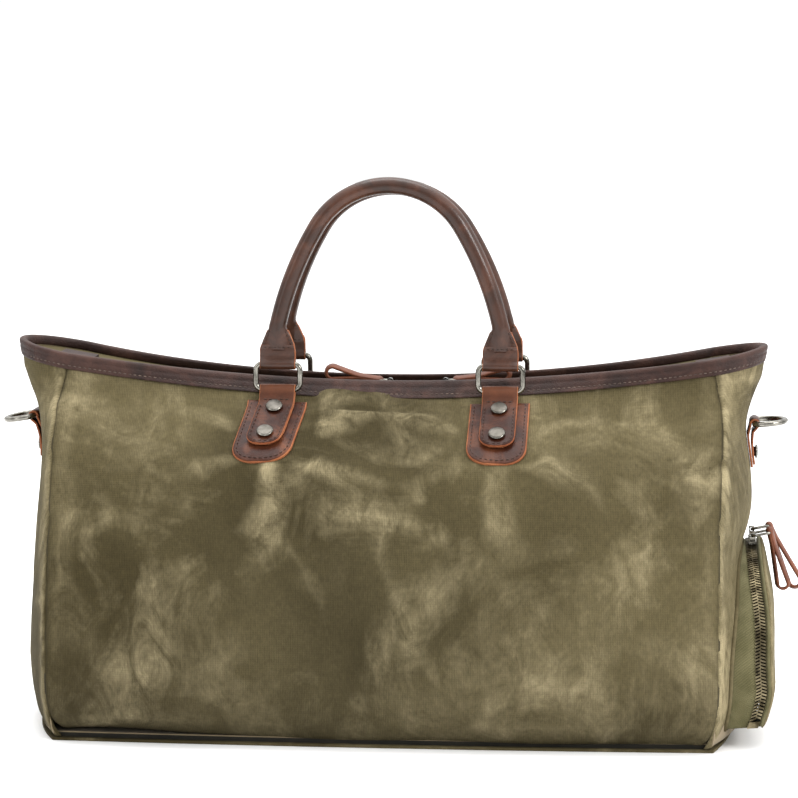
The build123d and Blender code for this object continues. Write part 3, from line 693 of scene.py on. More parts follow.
# The 0.4 added to the pale marks of the right end is painted light, making the whole end paler as if lit from the
# right; the rest is wear along its folds.
right_canvas = add_mesh(
    "right_canvas", verts, faces, None, CANVAS, uv, None,
    np.tile((wear_of(relief) + 0.4).ravel(), 2)
)
across, up = arch_line(88.7, 29.5, 60)
near_side, far_side = shoe(across, up, -70.0, 0.0), shoe(across, up, 12.0, 0.0)
count = len(across)
cutter_faces = [tuple(range(count)), tuple(range(2 * count - 1, count - 1, -1))]
cutter_faces += [(k, (k + 1) % count, count + (k + 1) % count, count + k) for k in range(count)]
cutter = add_mesh(
    "cutter", np.concatenate([near_side, far_side]), cutter_faces, None, CANVAS, smooth=False
)
cut = right_canvas.modifiers.new("cut", "BOOLEAN")
cut.operation = "DIFFERENCE"
cut.solver = "EXACT"
cut.object = cutter
bpy.context.view_layer.update()
shaped = bpy.data.meshes.new_from_object(right_canvas.evaluated_get(bpy.context.evaluated_depsgraph_get()))
right_canvas.modifiers.clear()
right_canvas.data = shaped
bpy.data.objects.remove(cutter)
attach(right_canvas, "shell")
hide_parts("right_gusset")


# =================================================================== leather parts
def template_ball(rings=5, sides=6):
    verts, faces = [(-1.0, 0.0, 0.0)], []
    for i in range(1, rings):
        a = math.pi * i / rings
        for j in range(sides):
            b = 2 * math.pi * j / sides
            verts.append((-math.cos(a), math.sin(a) * math.cos(b), math.sin(a) * math.sin(b)))
    verts.append((1.0, 0.0, 0.0))
    last = len(verts) - 1
    for j in range(sides):
        k = (j + 1) % sides
        faces.append((0, 1 + k, 1 + j))
        faces.append((last, last - sides + j, last - sides + k))
        for i in range(rings - 2):
            a, b = 1 + i * sides + j, 1 + i * sides + k
            faces.append((a, b, b + sides, a + sides))
    return np.array(verts), faces


BALL, BALL_FACES = template_ball()


def resample(path, pitch):
    path = np.asarray(path, float)
    length = np.concatenate([[0], np.cumsum(np.linalg.norm(np.diff(path, axis=0), axis=1))])
    at = np.arange(pitch / 2, length[-1], pitch)
    return np.stack([np.interp(at, length, path[:, k]) for k in range(3)], -1), at, length


def stitches(path, normals, pitch=3.8, long=2.5, wide=0.85, high=0.45, lift=0.1):
    """Short raised stitches along a path on a surface."""
    points, at, length = resample(path, pitch)
    normals = unit(np.stack([np.interp(at, length, np.asarray(normals)[:, k]) for k in range(3)], -1))
    ahead, _, _ = resample(path, pitch)
    tangent = unit(np.gradient(ahead, axis=0))
    side = unit(np.cross(normals, tangent))
    pieces = []
    for c, t, s, n in zip(points, tangent, side, normals):
        v = BALL[:, :1] * t * long / 2 + BALL[:, 1:2] * s * wide / 2 + BALL[:, 2:] * n * high
        pieces.append((v + c + n * lift, BALL_FACES))
    return joined(pieces)


def rounded_half(v, low, half, end):
    """Half width at v of a strip whose lower end is rounded over a length."""
    t = np.clip((low + end - v) / end, 0, 1)
    return half * np.maximum(1 - t**2.5, 0.0008) ** (1 / 2.5)


SLOPE_AT = np.array([0.0, -57.0, 217.0])
SLOPE_UP = np.array([0.0, 0.8385, 0.545])
SLOPE_OUT = np.array([0.0, -0.545, 0.8385])
TURN = np.array([-1.0, -1.0, 1.0])


def slope(x, v, h):
    x, v, h = np.broadcast_arrays(x, v, h)
    return SLOPE_AT + x[..., None] * np.array([1.0, 0, 0]) + v[..., None] * SLOPE_UP + h[..., None] * SLOPE_OUT


def seat_on(grid, x_mid):
    """Gentle surface through the cloth around an anchor, as a height over the slope plane."""
    tree = BVHTree.FromPolygons(grid.reshape(-1, 3).tolist(), grid_faces(*grid.shape[:2]))
    rows = []
    for x in np.linspace(-24, 24, 9):
        for v in np.linspace(-46, 26, 13):
            start = slope(np.array(x_mid + x), np.array(v), np.array(40.0))
            hit = tree.ray_cast(Vector(start), Vector(-SLOPE_OUT))
            if hit[0] is not None:
                rows.append((x, v, 40.0 - hit[3]))
    x, v, h = np.array(rows).T
    terms = np.stack([1 + 0 * x, x, v, x * x, x * v, v * v, v**3], -1)
    fit = np.linalg.lstsq(terms, h, rcond=None)[0]
    extra = np.percentile(h - terms @ fit, 90)

    def seat(x, v):
        x, v = np.broadcast_arrays(np.asarray(x, float) - x_mid, np.asarray(v, float))
        v = np.minimum(v, 26)
        return np.stack([1 + 0 * x, x, v, x * x, x * v, v * v, v**3], -1) @ fit + extra

    return seat


def anchor(tag, x_mid, tilt, grid, turned):
    """Patch, folded chape, two rivets and their stitches on one handle anchor."""
    seat = seat_on(grid * (TURN if turned else 1), x_mid)

    def place(points):
        return points * TURN if turned else points

    def shear(v):
        return -tilt * np.maximum(20 - np.asarray(v, float), 0)

    # the patch
    low, high = -37.0, 25.0
    rows = np.concatenate(
        [low + 17 * (1 - np.cos(np.linspace(0.08, math.pi / 2, 22))), np.linspace(-19, 24.2, 26), [25.0]]
    )
    cols = np.concatenate([[-1, -0.965], np.linspace(-0.9, 0.9, 17), [0.965, 1]])
    v = rows[:, None] + 0 * cols[None]
    half = rounded_half(v, low, 21.0, 17.0)
    x = x_mid + shear(v) + half * cols[None]
    edge = np.minimum(half * (1 - np.abs(cols[None])), np.minimum(v - low, high - v))
    base = seat(x, v)
    wave_up = 0.25 * noise(x, v, 19, 5)
    top = slope(x, v, base + 2.1 + wave_up - 0.7 * np.exp(-np.maximum(edge, 0) / 0.6))
    under = slope(x, v, base - 0.5)
    verts, faces, flags = solid_sheet(top, under)
    nv = len(cols)
    for i in range(len(rows) - 1):
        for j in range(nv - 1):
            if j in (0, nv - 2) or i < 2:
                flags[i * (nv - 1) + j] = 1
    wear_and_painted_light = np.tile((0.25 * np.exp(-np.maximum(edge, 0) / 3.0)).ravel(), 2)
    patch = add_mesh(
        "patch_" + tag, place(verts), faces, "shell", [PATCH, EDGE], None, flags, wear_and_painted_light
    )
    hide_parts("patch_" + tag)

    # the folded chape
    bar = (32.7, 7.37)
    line = [(v, 4.95) for v in np.concatenate([np.linspace(-24, -14, 12), np.linspace(-12, 14, 10)])]
    line += [(19, 5.2), (23, 6.3), (26.5, 8.0), (29.4, 9.6)]
    line += [
        (bar[0] + 2.95 * math.cos(a), bar[1] + 2.95 * math.sin(a))
        for a in np.radians(np.arange(105, -100, -15))
    ]
    line += [(28, 3.7), (24, 3.25), (19, 3.05), (10, 3.0), (0, 3.0), (-10, 3.0), (-18, 3.0), (-22, 3.0)]
    line = np.array(line)
    tangent = unit(np.gradient(line, axis=0))
    across = np.stack([-tangent[:, 1], tangent[:, 0]], -1)
    inset = np.where(np.arange(len(line)) > 40, 1.5, 0.0)
    half = np.where(line[:, 0] < -11, rounded_half(line[:, 0], -24.0 + inset, 12.5 - inset / 2, 11.0), 12.5)
    half = np.maximum(half, 1.0)
    profile = [(-1, -0.4), (-1, 0.4), (-0.965, 0.85), (-0.5, 0.92), (0, 0.95), (0.5, 0.92), (0.965, 0.85)]
    profile += [(1, 0.4), (1, -0.4), (0.965, -0.85), (-0.965, -0.85)]
    verts, wear_and_painted_light = [], []
    for k, (v, h) in enumerate(line):
        hold = np.clip((24 - v) / 12, 0, 1)
        for a, b in profile:
            vv, hh = v + b * across[k, 0], h + b * across[k, 1]
            xx = x_mid + shear(v) + a * half[k]
            verts.append(slope(np.array(xx), np.array(vv), np.array(hh + hold * float(seat(xx, vv)))))
            lip = v > 27 or k > 35
            wear_and_painted_light.append(0.75 if lip else 0.35 if v > 15 else 0.0)
    n = len(profile)
    faces, flags = [], []
    for i in range(len(line) - 1):
        for j in range(n):
            faces.append((i * n + j, i * n + (j + 1) % n, (i + 1) * n + (j + 1) % n, (i + 1) * n + j))
            flags.append(1 if j in (0, 1, 6, 7, 8, 10) else 0)
    faces += [tuple(range(n)), tuple((len(line) - 1) * n + j for j in range(n - 1, -1, -1))]
    flags += [1, 1]
    chape = add_mesh(
        "chape_" + tag, place(np.array(verts)), faces, "shell", [PATCH, EDGE], None, flags,
        wear_and_painted_light
    )
    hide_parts("chape_" + tag)

    # stitches round both
    sewn = []
    for half_wide, foot, head, end, height in ((21.0, low, 23.0, 17.0, 2.2), (12.5, -24.0, 17.0, 11.0, 5.85)):
        gap = 2.9 if half_wide > 20 else 2.2
        v = np.concatenate(
            [np.linspace(head, foot + end, 20), foot + gap + (end - gap) * np.cos(np.linspace(0, math.pi / 2, 20))[1:]]
        )
        v = foot + gap + (v - foot - gap)
        w = rounded_half(v, foot + gap, half_wide - gap, end - gap)
        v, w = np.concatenate([v, v[::-1]]), np.concatenate([-w, w[::-1]])
        x = x_mid + shear(v) + w
        path = slope(x, v, seat(x, v) + height)
        sewn.append(stitches(path, np.repeat(SLOPE_OUT[None], len(path), 0)))
    w = np.linspace(-9.8, 9.8, 9)
    path = slope(x_mid + w, 21.8 + 0 * w, 0.18 * seat(x_mid + w, 21.8 + 0 * w) + 6.95)
    sewn.append(stitches(path, np.repeat(SLOPE_OUT[None], len(path), 0)))
    verts, faces = joined(sewn)
    add_mesh("stitches_" + tag, place(verts), faces, "shell", THREAD)

    # rivets
    discs = []
    for v in (14.0, -13.0):
        x = x_mid + float(shear(v))
        discs.append(
            rivet(slope(np.array(x), np.array(v), np.array(5.8 + float(seat(x, v)))), SLOPE_OUT, 6.0)
        )
    verts, faces = joined(discs)
    return place(verts), faces


RIVET_PROFILE = [
    (0.0, 3.0), (0.45, 2.98), (0.8, 2.8), (0.9, 2.65), (0.97, 2.2), (1.0, 1.7), (0.96, 1.3), (0.86, 1.15),
    (0.7, 1.1), (0.7, -0.8)
]


def rivet(at, axis, radius, sides=32):
    """A capped rivet: flat dark top, turned rim, short neck."""
    axis = np.asarray(axis, float)
    side = unit(np.cross(axis, (0.0, 0.3, 1.0)))
    up = np.cross(axis, side)
    verts = [at + axis * 3.0]
    for r, h in RIVET_PROFILE[1:]:
        for k in range(sides):
            a = 2 * math.pi * k / sides
            verts.append(at + axis * h + radius * r * (math.cos(a) * side + math.sin(a) * up))
    faces = [(0, 1 + k, 1 + (k + 1) % sides) for k in range(sides)]
    for i in range(len(RIVET_PROFILE) - 2):
        for k in range(sides):
            a, b = 1 + i * sides + k, 1 + i * sides + (k + 1) % sides
            faces.append((a, a + sides, b + sides, b))
    last = 1 + (len(RIVET_PROFILE) - 2) * sides
    faces.append(tuple(last + k for k in range(sides)))
    return np.array(verts), faces


def rivet_flags(count, sides=32):
    per = sides * (len(RIVET_PROFILE) - 1) + 1
    one = [1] * (3 * sides) + [0] * (per - 3 * sides)
    return one * count


caps = []
for tag, x_mid, tilt, grid, turned in (
    ("front_left", -79.0, 0.14, front_grid, False),
    ("front_right", 79.0, 0.01, front_grid, False),
    ("rear_right", -79.0, 0.03, rear_grid, True),
    ("rear_left", 79.0, -0.02, rear_grid, True),
):
    caps.append(anchor(tag, x_mid, tilt, grid, turned))
verts, faces = joined(caps)
handle_rivets = add_mesh(
    "handle_rivet_caps", verts, faces, "shell", [NICKEL, CAP], None, rivet_flags(8)
)
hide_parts("handle_rivets")

# =================================================================== rings and handles
BAR_Y, BAR_Z, RING_TALL = -33.6, 241.0, 18.0


def lean_back(points):
    """Lean about the front ring bar towards the middle of the bag, then turn to the rear."""
    a = math.radians(12.0)
    y, z = points[:, 1] - BAR_Y, points[:, 2] - BAR_Z
    leaned = np.stack(
        [points[:, 0], BAR_Y + y * math.cos(a) + z * math.sin(a), BAR_Z - y * math.sin(a) + z * math.cos(a)],
        -1
    )
    return leaned * TURN


def ring_path(x_mid, corner=4.6):
    path = []
    for sx, sz, start in ((1, 1, 0), (-1, 1, 90), (-1, -1, 180), (1, -1, 270)):
        cx, cz = sx * (15.75 - corner), sz * (RING_TALL / 2 - corner)
        for a in np.radians(np.linspace(start, start + 90, 8)):
            path.append((x_mid + cx + corner * math.cos(a), BAR_Y, BAR_Z + 9 + cz + corner * math.sin(a)))
    return np.array(path)


for tag, x_mid, rear in (
    ("front_left", -79, 0), ("front_right", 79, 0), ("rear_left", 79, 1), ("rear_right", -79, 1)
):
    verts, faces = sweep(ring_path(x_mid), circle(2.0, 14), closed=True)
    obj = add_mesh(
        "wire_" + tag, lean_back(verts) if rear else verts, faces, "ring_" + tag, NICKEL
    )
    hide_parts("ring_" + tag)


def tangent_arc(p, t, q, n):
    """Points of the arc that leaves p along t and ends at q."""
    p, t, q = np.array(p, float), unit(np.array(t, float)), np.array(q, float)
    c = q - p
    normal = np.array([-t[1], t[0]])
    if c @ normal < 0:
        normal = -normal
    r = (c @ c) / (2 * (c @ normal))
    middle = p + r * normal
    angle = 2 * math.atan2(c @ normal, c @ t)
    steps = np.linspace(0, angle, n)
    return middle - r * normal * np.cos(steps)[:, None] + r * t * np.sin(steps)[:, None], steps


def handle_path():
    """Right half from the top down, as x and z."""
    r = (51.0**2 + 29.0**2) / 58.0
    a = np.linspace(0, math.asin(51.0 / r), 26)
    top = np.stack([r * np.sin(a), 386 - r + r * np.cos(a)], -1)
    side, _ = tangent_arc((51, 357), (math.cos(a[-1]), -math.sin(a[-1])), (79, 286), 26)
    leg = np.stack([np.full(16, 79.0), np.linspace(285, 269.0, 16)], -1)
    return np.concatenate([top, side[1:], leg])


def ear_half(z):
    t = np.clip((291.0 - z) / 21.0, 0, 1)
    return 6.0 + 6.5 * t * t * (3 - 2 * t) ** 0.7


def ear_height(a, z):
    """Half thickness of the flared end, a mm to the side of its middle."""
    swell = np.clip((z - 268) / 15, 0, 1) ** 0.8
    flat = 1.6 + 0.9 * (1 - swell)
    return flat + (6.0 - flat) * swell * np.exp(-((a / 4.7) ** 2))


def build_handle(tag, rear):
    right = handle_path()
    line = np.concatenate([right[::-1], (right * [-1, 1])[1:]])
    path = np.stack([line[:, 0], np.full(len(line), BAR_Y), line[:, 1]], -1)
    theta = np.linspace(0, 2 * math.pi, 44, endpoint=False)
    cos, sin = np.cos(theta), np.sin(theta)
    sections = []
    for z in line[:, 1]:
        half = float(ear_half(z)) if z < 291 else 6.0
        k = np.clip((half - 6.0) / 2.5, 0, 1)
        a = half * cos
        ear = np.stack([a, np.sign(sin) * np.abs(sin) ** 0.3 * ear_height(a, z)], -1)
        tube = np.stack([6 * cos, 6 * sin], -1)
        sections.append(k * ear + (1 - k) * tube)
    tangent = unit(np.gradient(path, axis=0))
    outward = np.repeat(np.array([[0.0, -1.0, 0.0]]), len(path), 0)
    side = np.cross(outward, tangent)
    verts, faces = sweep(path, sections, frames=(side, outward))
    flags = []
    for i in range(len(path) - 1):
        for j in range(44):
            raw = abs(math.sin((theta[j] + theta[(j + 1) % 44]) / 2)) < 0.2 if j < 43 else True
            flags.append(1 if raw and line[i, 1] < 285 else 0)
    flags += [1, 1]
    wear_and_painted_light = 0.12 * np.ones(len(verts))
    turn = lean_back if rear else (lambda points: points)
    body = tag + "_handle"
    grip = add_mesh(
        "grip_" + tag, turn(verts), faces, body, [LEATHER, EDGE], None, flags, wear_and_painted_light
    )
    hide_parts(tag + "_handle_cover")

    # the bands round the ring bars, with their stitches
    bands, sewn = [], []
    for x_mid in (-79.0, 79.0):
        bar = BAR_Z + RING_TALL
        loop = [(z, 1.75) for z in (273, 270, 266.5, 263.5)]
        loop += [(bar + 2.95 * math.cos(a), 2.95 * math.sin(a)) for a in np.radians(np.arange(50, 315, 15))]
        loop += [(z, -1.75) for z in (263.5, 268, 273, 278, 283)]
        loop = np.array(loop)
        tangent = unit(np.gradient(loop, axis=0))
        away = np.stack([-tangent[:, 1], tangent[:, 0]], -1)
        profile = [
            (-1, -0.4), (-1, 0.4), (-0.965, 0.82), (0, 0.9), (0.965, 0.82), (1, 0.4), (1, -0.4),
            (0.965, -0.82), (-0.965, -0.82)
        ]
        n, points, band_faces = len(profile), [], []
        for k, (z, b) in enumerate(loop):
            half = min(12.6, float(ear_half(z)) + 0.1)
            for p, q in profile:
                points.append((x_mid + p * half, BAR_Y - (b + q * away[k, 1]), z + q * away[k, 0]))
        for i in range(len(loop) - 1):
            for j in range(n):
                band_faces.append(
                    (i * n + j, i * n + (j + 1) % n, (i + 1) * n + (j + 1) % n, (i + 1) * n + j)
                )
        band_faces += [tuple(range(n)), tuple((len(loop) - 1) * n + j for j in range(n - 1, -1, -1))]
        bands.append((np.array(points), band_faces))
        one = [1 if j in (0, 1, 4, 5, 6, 8) else 0 for _ in range(len(loop) - 1) for j in range(n)] + [1, 1]
        for face_side in (1, -1):
            w = np.linspace(-10.4, 10.4, 9)
            row = np.stack([x_mid + w, BAR_Y - face_side * ear_height(w, 271.2), 271.2 + 0 * w], -1)
            out = np.repeat(np.array([[0.0, -face_side, 0.0]]), len(row), 0)
            sewn.append(stitches(row, out, 3.4, 2.3, 1.0, 0.5))
            for edge_side in (-1, 1):
                z = np.linspace(272.5, 284, 8)
                inset = ear_half(z) - 1.9
                row = np.stack(
                    [x_mid + edge_side * inset, BAR_Y - face_side * (ear_height(inset, z) - 0.1), z], -1
                )
                out = np.repeat(np.array([[0.0, -face_side, 0.0]]), len(row), 0)
                sewn.append(stitches(row, out, 3.0, 2.1, 1.0, 0.5))
    verts, faces = joined(bands)
    add_mesh(
        "ear_bands_" + tag, turn(verts), faces, body, [LEATHER, EDGE], None, one + one,
        0.2 * np.ones(len(verts))
    )
    verts, faces = joined(sewn)
    add_mesh("grip_stitches_" + tag, turn(verts), faces, body, THREAD)


build_handle("front", False)
build_handle("rear", True)

# =================================================================== rim binding
def rim_loop(drop):
    """Closed line round the bag a given distance below the rim."""
    s = np.linspace(-1, 1, 201)[:-1]
    z = rim_z(s * 230, drop)
    for _ in range(4):
        z = rim_z(front_point(s, z)[:, 0], drop)
    front = front_point(s, z)
    s = np.linspace(-1, 1, 41)[:-1]
    z = np.full(40, float(rim_z(250, drop)))
    for _ in range(5):
        z = rim_z(end_point(s, z, 1)[:, 0], drop)
    right = end_point(s, z, 1)
    z = np.full(40, float(rim_z(250, drop)))
    for _ in range(5):
        z = rim_z(end_point(-s, z, -1)[:, 0], drop)
    left = end_point(-s, z, -1)
    return np.concatenate([front, right, front * TURN, left])


BINDING_PROFILE = [
    (10.0, 0.1), (9.9, 1.0), (9.3, 1.4), (8.3, 1.5), (7.6, 1.25), (6.9, 1.25), (6.2, 1.55), (4.0, 1.6)
]
BINDING_PROFILE += [
    (3.3, 1.25), (2.7, 1.25), (2.0, 1.55), (0.2, 1.5), (-0.9, 1.0), (-1.4, -0.2), (-1.4, -2.2)
]
BINDING_PROFILE += [
    (-0.8, -3.6), (0.5, -4.1), (4.6, -4.1), (5.0, -3.7), (5.0, -3.1), (0.4, -3.0), (0.4, -0.1)
]
loops = []
for k, (drop, out) in enumerate(BINDING_PROFILE):
    line = rim_loop(drop)
    tangent = np.roll(line, -2, 0) - np.roll(line, 2, 0)
    away = unit(np.stack([tangent[:, 1], -tangent[:, 0], 0 * tangent[:, 0]], -1))
    uneven = 0.12 * noise(line[:, 0] + line[:, 1], 0 * line[:, 0] + drop, 11, 6)
    loops.append(line + away * (out + uneven)[:, None])
binding_grid = np.stack(loops, 1)
nu, nv = binding_grid.shape[:2]
binding = add_mesh(
    "rim_leather",
    binding_grid.reshape(-1, 3),
    grid_faces(nu, nv, close_u=True, close_v=True),
    "shell",
    BINDING,
    None,
    None,
    np.tile([0.5 if 11 <= k <= 14 else 0.0 for k in range(nv)], nu) * (0.5 + 0.5 * noise(np.repeat(np.arange(nu), nv), 0, 7, 2)),
)
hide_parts("rim_binding")
line = rim_loop(7.25)
tangent = np.roll(line, -2, 0) - np.roll(line, 2, 0)
away = unit(np.stack([tangent[:, 1], -tangent[:, 0], 0 * tangent[:, 0]], -1))
row = line + away * 1.25
verts, faces = stitches(np.concatenate([row, row[:1]]), np.concatenate([away, away[:1]]), 3.6, 2.2, 0.8, 0.4)
add_mesh("rim_stitches", verts, faces, "shell", RIM_THREAD)

# =================================================================== end tabs and D-rings
side_caps = []
for tag, sign, bar_x, reach, tilt in (
    ("left", -1, 259.6, LEFT_X, -10.0),
    ("right", 1, 258.2, RIGHT_X, 4.0),
):
    line = [(float(reach(z)) + 0.95, z) for z in (186, 192, 198, 204, 209)]
    line += [
        (bar_x + 2.95 * math.cos(a), 217 + 2.95 * math.sin(a)) for a in np.radians(np.arange(195, -50, -15))
    ]
    line += [
        (float(reach(z)) + 0.95 + 1.75 + lift, z) for z,
        lift in ((211, 1.9), (206, 1.0), (201, 0.3), (195, 0), (188, 0))
    ]
    line = np.array(line)
    tangent = unit(np.gradient(line, axis=0))
    away = np.stack([-tangent[:, 1], tangent[:, 0]], -1)
    profile = [
        (-1, -0.4), (-1, 0.4), (-0.96, 0.8), (0, 0.85), (0.96, 0.8), (1, 0.4), (1, -0.4), (0.96, -0.8),
        (-0.96, -0.8)
    ]
    n, points, faces, flags = len(profile), [], [], []
    for k, (x, z) in enumerate(line):
        for p, q in profile:
            points.append((sign * (x + q * away[k, 0]), 11.75 * p, z + q * away[k, 1]))
    for i in range(len(line) - 1):
        for j in range(n):
            faces.append((i * n + j, i * n + (j + 1) % n, (i + 1) * n + (j + 1) % n, (i + 1) * n + j))
            flags.append(1 if j in (0, 1, 4, 5, 6, 8) else 0)
    faces += [tuple(range(n)), tuple((len(line) - 1) * n + j for j in range(n - 1, -1, -1))]
    tab = add_mesh(
        "tab_" + tag, points, faces, "shell", [PATCH, EDGE], None, flags + [1, 1],
        0.2 * np.ones(len(points))
    )
    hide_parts("side_tab_" + tag)
    at = np.array([sign * (float(reach(196.0)) + 3.5), 0.0, 196.0])
    side_caps.append(rivet(at, (sign, 0.0, 0.0), 5.0))

    bow = [(0, y) for y in np.linspace(-11, 11, 7)]
    bow += [(4 - 4 * math.cos(a), 11 + 4 * math.sin(a)) for a in np.radians((22, 45, 68, 90))]
    bow += [(7 + 15 * math.sin(a), 15 * math.cos(a)) for a in np.radians(np.linspace(0, 180, 25))]
    bow += [(4 - 4 * math.cos(a), -11 - 4 * math.sin(a)) for a in np.radians((90, 68, 45, 22))]
    bow = np.array(bow)
    a = math.radians(tilt)
    path = np.stack([sign * (bar_x + bow[:, 0] * math.cos(a)), bow[:, 1], 217 + bow[:, 0] * math.sin(a)], -1)
    verts, faces = sweep(path, circle(2.0, 14), closed=True)
    bow_ring = add_mesh("bow_" + tag, verts, faces, "d_ring_" + tag, NICKEL)
    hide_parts("d_ring_" + tag)
verts, faces = joined(side_caps)
side_rivets = add_mesh(
    "side_rivet_caps", verts, faces, "shell", [NICKEL, CAP], None, rivet_flags(2)
)
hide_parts("side_rivets")

# =================================================================== shoe compartment
across, up = arch_line(88.0, 27.5, 140)
rim_points = shoe(across, up, -20.0)
reach = end_surface(rim_points[:, 1], rim_points[:, 2])
start = (reach - rim_points[:, 0]) / math.cos(LEAN) - 20.0
t = np.linspace(0, 1, 18)[None, :]
depth = (start[:, None] - 3.5) * (1 - t) - 11.3 * t
swell = 0.9 * np.sin(math.pi * t) * np.clip((up[:, None] + 30) / 50, 0.3, 1) + 0.25 * noise(
    np.arange(len(across))[:, None] * 2.0, depth, 14, 3
)
scale = (88.0 + 0.5 + swell) / 88.0
tape_out = shoe(across[:, None] * scale, np.where(up[:, None] > 0, up[:, None] * scale, up[:, None]), depth)
tape_in = shoe(
    across[:, None] * (scale - 1.0 / 88),
    np.where(up[:, None] > 0, up[:, None] * (scale - 1.0 / 88), up[:, None]), depth
)
verts, faces, _ = solid_sheet(tape_out, tape_in)
run = np.arange(len(across))[:, None] * 2.4 + 0 * t
uv = np.concatenate([np.stack([run, depth], -1).reshape(-1, 2) * MM] * 2)
tape = add_mesh("shoe_tape", verts, faces, "shell", TAPE, uv)
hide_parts("shoe_wall_tape")

welt_across, welt_up = arch_line(89.6, 28.5, 100)
welt_points = shoe(welt_across, welt_up, -20.0)
welt_reach = end_surface(welt_points[:, 1], welt_points[:, 2])
welt = shoe(welt_across, welt_up, (welt_reach - welt_points[:, 0]) / math.cos(LEAN) - 20.0 + 0.2)
verts, faces = sweep(welt, circle(1.7, 10))
add_mesh("shoe_welt", verts, faces, "shell", CANVAS)

CUBE = np.array([(x, y, z) for x in (-1, 1) for y in (-1, 1) for z in (-1, 1)], float)
CUBE_FACES = [(0, 1, 3, 2), (4, 6, 7, 5), (0, 4, 5, 1), (2, 3, 7, 6), (0, 2, 6, 4), (1, 5, 7, 3)]
along_across, along_up = arch_line(88.0, 23.0, 400)
line = np.stack([along_across, along_up, 0 * along_up], -1)
for body, node, offset, middle, lean_by in (
    ("shell", "shoe_chain_wall", 0.0, -9.7, 0.35),
    ("shoe_door", "shoe_chain_door", 1.15, -6.3, -0.35),
):
    points, at, length = resample(line, 2.3)
    points = np.stack([np.interp(at + offset, length, line[:, k]) for k in range(2)], -1)
    heading = unit(np.gradient(points, axis=0))
    teeth = []
    for (a, u), (ha, hu) in zip(points, heading):
        out = np.array([-hu, ha]) if a * -hu + u * ha > 0 else np.array([hu, -ha])
        lean_run = CUBE[:, 2] * lean_by * 2.0
        run = CUBE[:, 0] * 0.62 + lean_run
        rise = CUBE[:, 1] * 0.95 + 0.55
        teeth.append(
            (shoe(a + run * ha + rise * out[0], u + run * hu + rise * out[1], middle + CUBE[:, 2] * 2.0), CUBE_FACES)
        )
    verts, faces = joined(teeth)
    teeth_obj = add_mesh("teeth_" + body, verts, faces, body, BRASS, smooth=False)
    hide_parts(node)
    near_z = -12.6 if body == "shell" else -7.6
    strip_out = shoe(
        along_across[:, None] * 0.9955, along_up[:, None], np.array([[near_z, near_z + 2.0, near_z + 3.7]])
    )
    strip_in = shoe(
        along_across[:, None] * 0.9865, along_up[:, None] - 0.8,
        np.array([[near_z, near_z + 2.0, near_z + 3.7]])
    )
    verts, faces, _ = solid_sheet(strip_out, strip_in)
    add_mesh("chain_tape_" + body, verts, faces, body, DARK_TAPE)

stops = []
for side in (-1, 1):
    block = CUBE * np.array([2.2, 2.2, 3.9])
    stops.append((shoe(side * 88.2 + block[:, 0], -25.6 + block[:, 1], -8.0 + block[:, 2]), CUBE_FACES))
verts, faces = joined(stops)
end_stops = add_mesh("chain_stops", verts, faces, "shell", BRASS, smooth=False)
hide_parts("shoe_stops")
sill_across = np.linspace(-87, 87, 30)[:, None]
sill_depth = np.linspace(-34, -4.4, 8)[None, :]
verts, faces, _ = solid_sheet(shoe(sill_across, -26.6, sill_depth), shoe(sill_across, -28.0, sill_depth))
sill = add_mesh("sill_cloth", verts, faces, "shell", SLOT_PAINT["canvas"])
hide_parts("shoe_sill")

band_across, band_up = arch_line(1.0, 27.0 / 88, 100)
band_depth = np.array([[-4.2, -2.8, -1.2]])


def band_at(radius):
    return shoe(band_across[:, None] * radius, band_up[:, None] * radius, band_depth)


verts, faces, _ = solid_sheet(band_at(88.5), band_at(87.5))
door_tape = add_mesh("door_tape", verts, faces, "shoe_door", TAPE)
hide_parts("shoe_door_tape")

pipe_across, pipe_up = arch_line(89.4, 27.0, 100)
verts, faces = sweep(shoe(pipe_across, pipe_up, -2.3), circle(1.25, 10))
add_mesh("door_piping", verts, faces, "shoe_door", TAPE)

rows = np.concatenate([np.linspace(-28, 0, 14), 90 * np.sin(np.linspace(0.04, math.pi / 2 - 0.03, 44))])
cols = np.concatenate([[-1, -0.985], np.linspace(-0.96, 0.96, 45), [0.985, 1]])
v = rows[:, None] + 0 * cols[None]
half = np.where(v < 0, 90.0, np.sqrt(np.maximum(90.0**2 - v**2, 0)))
a = half * cols[None]
inside = np.minimum(90 - np.hypot(a, np.maximum(v, 0)), v + 28)
inside = np.maximum(inside, 0)
dome = 0.3 + 4.6 * (1 - np.exp(-inside / 20)) + np.clip(inside / 15, 0, 1) * folds(a * 1.3, v * 1.3, 1) * 0.5
dome -= 1.3 * np.exp(-inside / 0.8)
verts, faces, _ = solid_sheet(shoe(a, v, dome), shoe(a, v, -1.5 + 0 * dome))
uv = np.concatenate([np.stack([a, v], -1).reshape(-1, 2) * MM] * 2)
door = add_mesh(
    "door_canvas", verts, faces, "shoe_door", CANVAS, uv, None, np.tile(wear_of(dome).ravel(), 2)
)
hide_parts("shoe_door")


